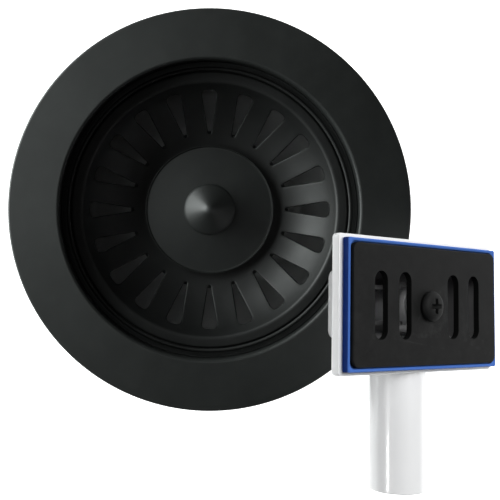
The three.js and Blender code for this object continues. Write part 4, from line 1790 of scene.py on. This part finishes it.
@dataclass
class OverflowHead(Assembly):
    """The loose overflow head: plate, gasket, housing with its pipe, liner and screw, in its own frame.

    Args:
        plate: width and height of the plate.
        plate_corner: radius of its corners.
        plate_t: its thickness.
        slot: width and height of a slot in it.
        slots: centres of the slots.
        gasket: width and height of the gasket.
        housing: width and height of the housing's flange.
        mouth: width and height of the box at the flange.
        rear: width and height of the box at its back.
        wall: wall of the housing.
        pipe: outside radius of the pipe.
        pipe_wall: its wall.
        post: radius of the screw post.
        front: height of the housing's front.
        back: height of the back of its flange.
        box_back: height of the back of the box.
        pipe_axis: height of the pipe's axis.
        pipe_end: from the screw's axis to the end of the pipe.
        liner_ribs: the cross ribs in the liner: place across and up, width, height, lowest and highest height.
        insert: outside and inside radius of the screw's insert, and its lowest and highest height.
        gasket_high: height of the gasket's front.
        gasket_low: height of its back.
        seat: height of the recess that the plate sits in.
    """

    plate: tuple[float, float] = (57.0, 29.5)
    plate_corner: float = 2.0
    plate_t: float = 1.6
    slot: tuple[float, float] = (4.7, 16.6)
    slots: tuple[float, ...] = (-18.7, -9.7, 9.7, 18.7)
    gasket: tuple[float, float] = (59.2, 31.7)
    housing: tuple[float, float] = (61.2, 33.7)
    mouth: tuple[float, float] = (50.0, 22.0)
    rear: tuple[float, float] = (34.0, 17.4)
    wall: float = 1.6
    pipe: float = 7.3
    pipe_wall: float = 1.4
    post: float = 5.0
    front: float = -2.8
    back: float = -5.2
    box_back: float = -19.4
    pipe_axis: float = -10.5
    pipe_end: float = 46.95
    liner_ribs: tuple[tuple[float, ...], ...] = (
        (-13.2, 4.4, 14.6, 1.0, -9.0, -4.0), (-13.2, -4.4, 14.6, 1.0, -9.0, -4.0),
        (18.9, 0, 0.9, 17.0, -9.0, -4.2))
    insert: tuple[float, ...] = (3.0, 2.2, -11.6, -4.6)
    gasket_high: float = -0.6
    gasket_low: float = -2.5
    seat: float = -1.9

    def __post_init__(self) -> None:
        """Finds where the head stands."""
        self.place = head_place()
        turn = Matrix.Translation((0, 0, self.pipe_axis)) @ Matrix.Rotation(math.pi / 2, 4, "X")
        self.along_pipe = self.place @ turn

    def build(self) -> None:
        """Builds the head's pieces."""
        body = "overflow_head"
        self.dress(self.shell(), "overflow_housing", body, "white_plastic", WHITE_PLASTIC, 30.0)
        self.dress(self.liner(), "overflow_liner", body, "black_plastic", LINER_BLACK, 30.0)
        gasket = self.dress(self.seal(), "overflow_gasket", body, "blue_silicone", BLUE_SILICONE, 30.0)
        # Painted shade on the gasket's outer sides.
        self.paint_side_shade(gasket)
        insert = tube("screw_insert_sleeve", *self.insert, 0.2, SMALL_ROUND, self.place)
        self.dress(insert, "screw_insert", body, "brass", BRASS)
        self.dress(self.face(), "face_plate", "face_plate", "satin_black", PLATE_BLACK, 30.0)
        self.dress(self.screw(), "face_screw", "face_screw", "satin_black", PLATE_BLACK, 30.0)

    def paint_side_shade(self, gasket: bpy.types.Object) -> None:
        """Paints shade on the gasket's outer sides, which take a darker copy of the blue silicone.

        Args:
            gasket: the finished gasket.
        """
        gasket.data.materials.append(SIDE_SHADE_SILICONE.material())
        front = self.place.to_3x3().col[2].normalized()
        for polygon in gasket.data.polygons:
            if abs(polygon.normal.dot(front)) < 0.2:
                polygon.material_index = 1

    def stretch(self, inset: float, z: float, corner: float = 2.0) -> tuple:
        """A section of the tapered box.

        Args:
            inset: how far inside the box's outside it is.
            z: its height.
            corner: radius of its corners.

        Returns:
            Width, height, corner radius and height of the section.
        """
        along = (z - self.box_back) / (self.back - self.box_back)
        w = self.rear[0] + (self.mouth[0] - self.rear[0]) * along - 2 * inset
        h = self.rear[1] + (self.mouth[1] - self.rear[1]) * along - 2 * inset
        return w, h, corner, z

    def shell(self) -> bpy.types.Object:
        """The white housing: flange, tapered box, pipe and screw post."""
        w, h = self.housing
        back = self.box_back
        rim = 0.35
        sections = [
            self.stretch(0.6, back, 1.6), self.stretch(0.15, back + 0.2), self.stretch(0, back + 0.7),
            self.stretch(0, self.back - 0.2), (w - 2 * rim, h - 2 * rim, 0.8, self.back),
            (w - 0.2, h - 0.2, 0.95, self.back + 0.1), (w, h, 1.0, self.back + rim),
            (w, h, 1.0, self.front - rim), (w - 0.2, h - 0.2, 0.95, self.front - 0.1),
            (w - 2 * rim, h - 2 * rim, 0.8, self.front),
            self.stretch(self.wall, self.front), self.stretch(self.wall, back + self.wall),
        ]
        shell = rectangle_sweep("overflow_housing_shell", sections, self.place, False)
        pipe = tube("overflow_pipe", self.pipe, 0, 8.0, self.pipe_end, 0.35, ROUND, self.along_pipe)
        combine(shell, pipe, "UNION")
        bore = tube("pipe_cutter", self.pipe - self.pipe_wall, 0, 3.35, self.pipe_end + 1, 0, ROUND,
                    self.along_pipe)
        combine(shell, bore, "DIFFERENCE")
        room = [self.stretch(self.wall, back + self.wall), self.stretch(self.wall, self.front + 1)]
        combine(shell, rectangle_sweep("room_cutter", room, self.place, False), "DIFFERENCE")
        post = tube("screw_post", self.post, 0, back + self.wall / 2, self.front - 1.5, 0.3, SMALL_ROUND,
                    self.place)
        combine(shell, post, "UNION")
        hole = tube("post_cutter", 3.3, 0, self.front - 9.4, self.front + 1, 0, SMALL_ROUND, self.place)
        return combine(shell, hole, "DIFFERENCE")

    def liner(self) -> bpy.types.Object:
        """The black liner in the box, with cross ribs behind the slots."""
        inset = self.wall + GAP
        low = self.box_back + inset
        sections = [self.stretch(inset, low, 1.4), self.stretch(inset, self.front - GAP, 1.4),
                    self.stretch(inset + 0.9, self.front - GAP, 1.0), self.stretch(inset + 0.9, low + 0.9, 1.0)]
        liner = rectangle_sweep("overflow_liner_tray", sections, self.place, False)
        for x, y, w, h, deep, high in self.liner_ribs:
            bar = rectangle_sweep("liner_rib", [(w, h, 0.3, deep), (w, h, 0.3, high)],
                                  self.place @ Matrix.Translation((x, y, 0)), False)
            combine(liner, bar, "UNION")
        hole = tube("post_hole", self.post + GAP, 0, self.box_back, self.front + 2, 0, SMALL_ROUND, self.place)
        combine(liner, hole, "DIFFERENCE")
        pipe = tube("pipe_hole", self.pipe - self.pipe_wall, 0, self.post, 22, 0, SMALL_ROUND, self.along_pipe)
        return combine(liner, pipe, "DIFFERENCE")

    def seal(self) -> bpy.types.Object:
        """The blue gasket, with a chamfered rim round the plate."""
        w, h = self.gasket
        low, high, lip = self.gasket_low, self.gasket_high, self.seat
        seat_w, seat_h = self.plate[0] + 2 * GAP, self.plate[1] + 2 * GAP
        inner_w, inner_h = self.mouth[0] - 3.2, self.mouth[1] - 3.2
        sections = [
            (w, h, 0.5, low), (w, h, 0.5, high - 0.25), (w - 0.3, h - 0.3, 0.35, high - 0.04),
            (w - 0.5, h - 0.5, 0.3, high), (seat_w + 0.5, seat_h + 0.5, 0.9, high - 0.05),
            (seat_w, seat_h, 1.6, high - 0.3), (seat_w, seat_h, 1.6, lip), (inner_w, inner_h, 1.3, lip),
            (inner_w, inner_h, 1.3, low)]
        return rectangle_sweep("overflow_gasket_rim", sections, self.place)

    def face(self) -> bpy.types.Object:
        """The black plate with its slots and screw hole."""
        w, h = self.plate
        t, c = self.plate_t, self.plate_corner
        sections = [(w - 0.5, h - 0.5, c - 0.25, -t), (w, h, c, 0.25 - t), (w, h, c, -0.35),
                    (w - 0.2, h - 0.2, c - 0.1, -0.1), (w - 0.7, h - 0.7, c - 0.3, 0)]
        plate = rectangle_sweep("face_plate_cover", sections, self.place, False)
        width, height = self.slot
        r = width / 2
        straight = height / 2 - r
        outline = arc((0, straight), r, 0, 180, 16) + arc((0, -straight), r, 180, 360, 16)
        for x in self.slots:
            cutter = prism("slot_cutter", outline, -t - 1, 1, self.place @ Matrix.Translation((x, 0, 0)))
            combine(plate, cutter, "DIFFERENCE")
        combine(plate, tube("hole_cutter", 2.3, 0, -t - 1, 1, 0, 48, self.place), "DIFFERENCE")
        return soften(plate, 0.18, 3, 50.0)

    def screw(self) -> bpy.types.Object:
        """The pan-head screw with its cross recess."""
        outline = [(0, 0.3), (3.6, 0.3), (3.85, 0.42), (3.9, 0.65), (3.86, 0.95), (3.7, 1.3), (3.4, 1.6),
                   (2.95, 1.84), (2.3, 2.0), (1.4, 2.08), (0, 2.1)]
        screw = lathe("face_screw_body", outline, 96, self.place)
        combine(screw, tube("face_shank", 1.75, 0, -10.1, 0.8, 0.4, 48, self.place), "UNION")
        combine(screw, thread("face_thread", 1.75, 0.8, -9.6, -2.0, 0.24, self.place), "UNION")
        arm, wide, deep = 2.2, 0.6, 1.5
        for turn in (0, 90):
            rings = ((0.9, 0.35, 2.1 - deep), (arm, wide, 2.3))
            verts = [(x * a, y * b, z) for a, b, z in rings for x, y in ((1, 1), (-1, 1), (-1, -1), (1, -1))]
            faces = [(0, 1, 2, 3), (4, 5, 6, 7)] + [(k, (k + 1) % 4, 4 + (k + 1) % 4, 4 + k) for k in range(4)]
            turned = self.place @ Matrix.Rotation(math.radians(turn), 4, "Z")
            cutter = new_piece("cross_cutter", verts, faces, turned)
            combine(screw, cutter, "DIFFERENCE")
        return soften(screw, 0.08, 2, 50.0)


@dataclass
class Studio:
    """Floor, lights and camera.

    Args:
        camera_height: height of the camera above the seat, in metres.
        lens: its lens, in millimetres.
        shift: its shift, across and up.
        floor: side of the floor, in metres.
        floor_name: its name.
        tint: colour of the lights on the waste.
        surround: strength of the white surround as a light.
        backdrop: its strength as it is seen.
        floor_glow: strength of the light that the floor gives off.
        head_aim: the point that the head's lights look at.
    """

    camera_height: float = 0.2437
    lens: float = 61.45
    shift: tuple[float, float] = (0.081, -0.081)
    floor: float = 6.0
    floor_name: str = "studio_floor"
    tint: tuple[float, float, float] = (0.94, 1.0, 0.985)
    surround: float = 0.05
    backdrop: float = 0.93
    floor_glow: float = 0.95
    head_aim: tuple[float, float, float] = (0.05, -0.03, 0.02)

    def build(self) -> None:
        """Builds the studio round the object."""
        self.lay_floor()
        self.light_world()
        bowl = {"basket_bowl"}
        pieces = {o.name for o in bpy.context.scene.objects if o.type == "MESH" and not o.hide_render}
        loose = {name for name in pieces if (body_of(bpy.data.objects[name]) or [""])[0] in HEAD_BODIES}
        waste = self.light_group("lit_waste", pieces - loose)
        flats = self.light_group("lit_flats", pieces - loose - bowl)
        head = self.light_group("lit_head", loose | {self.floor_name})
        middle = (0.0, 0.0, 0.0)
        self.area("key_left", (-0.47, 0.16, 0.11), middle, 0.5, 7.4, waste, self.tint)
        self.area("top_left", (-0.26, 0.07, 0.80), middle, 0.5, 0.7, flats, self.tint)
        self.area("head_top", (-0.12, 0.35, 0.70), self.head_aim, 0.35, 1.3, head)
        self.area("head_right", (0.42, 0.20, 0.40), self.head_aim, 0.35, 3.1, head)
        self.area("head_left", (-0.38, -0.125, 0.40), self.head_aim, 0.08, 0.8, head)
        self.add_camera()

    def light_group(self, name: str, pieces: set[str]) -> bpy.types.Collection:
        """A collection of the pieces that one group of lights reaches.

        Args:
            name: the collection's name.
            pieces: names of the pieces.

        Returns:
            The collection.
        """
        group = bpy.data.collections.new(name)
        for piece in sorted(pieces):
            group.objects.link(bpy.data.objects[piece])
        return group

    def lay_floor(self) -> None:
        """A pale plain floor just under the lowest nut."""
        z = CAD_BOX[0].z / MM - 1.0
        half = self.floor / 2 / MM
        verts = [(x, y, z) for x, y in ((-half, -half), (half, -half), (half, half), (-half, half))]
        floor = new_piece(self.floor_name, verts, [(0, 1, 2, 3)])
        finish = Finish("pale_floor", (0.88, 0.88, 0.88), 0.8, Grain.MOULDED, grain_scale=300.0,
                        grain_strength=0.05, shade=0.004, wear=0.0, dust=0.0, specular=0.1)
        material = finish.material()
        shader = material.node_tree.nodes["Principled BSDF"]
        shader.inputs["Emission Color"].default_value = (1, 1, 1, 1)
        shader.inputs["Emission Strength"].default_value = self.floor_glow
        floor.data.materials.append(material)

    def light_world(self) -> None:
        """A white surround that is bright behind the object and lights it only faintly."""
        world = bpy.data.worlds.new("studio_world")
        world.use_nodes = True
        graph = Graph(world.node_tree)
        seen = graph.add("ShaderNodeLightPath").outputs["Is Camera Ray"]
        background = world.node_tree.nodes["Background"]
        background.inputs[0].default_value = (1, 1, 1, 1)
        strength = graph.span(seen, 0.0, 1.0, self.surround, self.backdrop)
        graph.tree.links.new(strength, background.inputs[1])
        bpy.context.scene.world = world

    def area(self, name: str, at: tuple, target: tuple, size: float, power: float,
             reaches: bpy.types.Collection, color: tuple = (1.0, 1.0, 1.0)) -> None:
        """Hangs a soft square light.

        Args:
            name: the light's name.
            at: where it hangs.
            target: the point that it looks at.
            size: its side.
            power: its power in watts.
            reaches: the pieces that it lights.
            color: its colour.
        """
        light = bpy.data.lights.new(name, "AREA")
        light.shape = "SQUARE"
        light.size = size
        light.energy = power
        light.color = color
        lamp = bpy.data.objects.new(name, light)
        lamp.location = at
        lamp.rotation_mode = "QUATERNION"
        lamp.rotation_quaternion = (Vector(target) - Vector(at)).to_track_quat("-Z", "Y")
        bpy.context.scene.collection.objects.link(lamp)
        lamp.light_linking.receiver_collection = reaches

    def add_camera(self) -> None:
        """The camera straight above the waste."""
        data = bpy.data.cameras.new("studio_camera")
        data.lens = self.lens
        data.sensor_width = 36.0
        data.shift_x, data.shift_y = self.shift
        data.clip_start = 0.01
        camera = bpy.data.objects.new("studio_camera", data)
        camera.location = (0, 0, self.camera_height)
        bpy.context.scene.collection.objects.link(camera)
        bpy.context.scene.camera = camera
        bpy.context.scene.view_settings.view_transform = "Standard"


def main() -> None:
    """Builds the waste, its basket, its overflow head and the studio."""
    logging.basicConfig(level=logging.INFO, format="%(name)s %(message)s")
    for assembly in (SinkFlange(), LowerBody(), FixingScrew(), Basket(), OverflowHead(), Studio()):
        assembly.build()


if __name__ == "__main__":
    main()
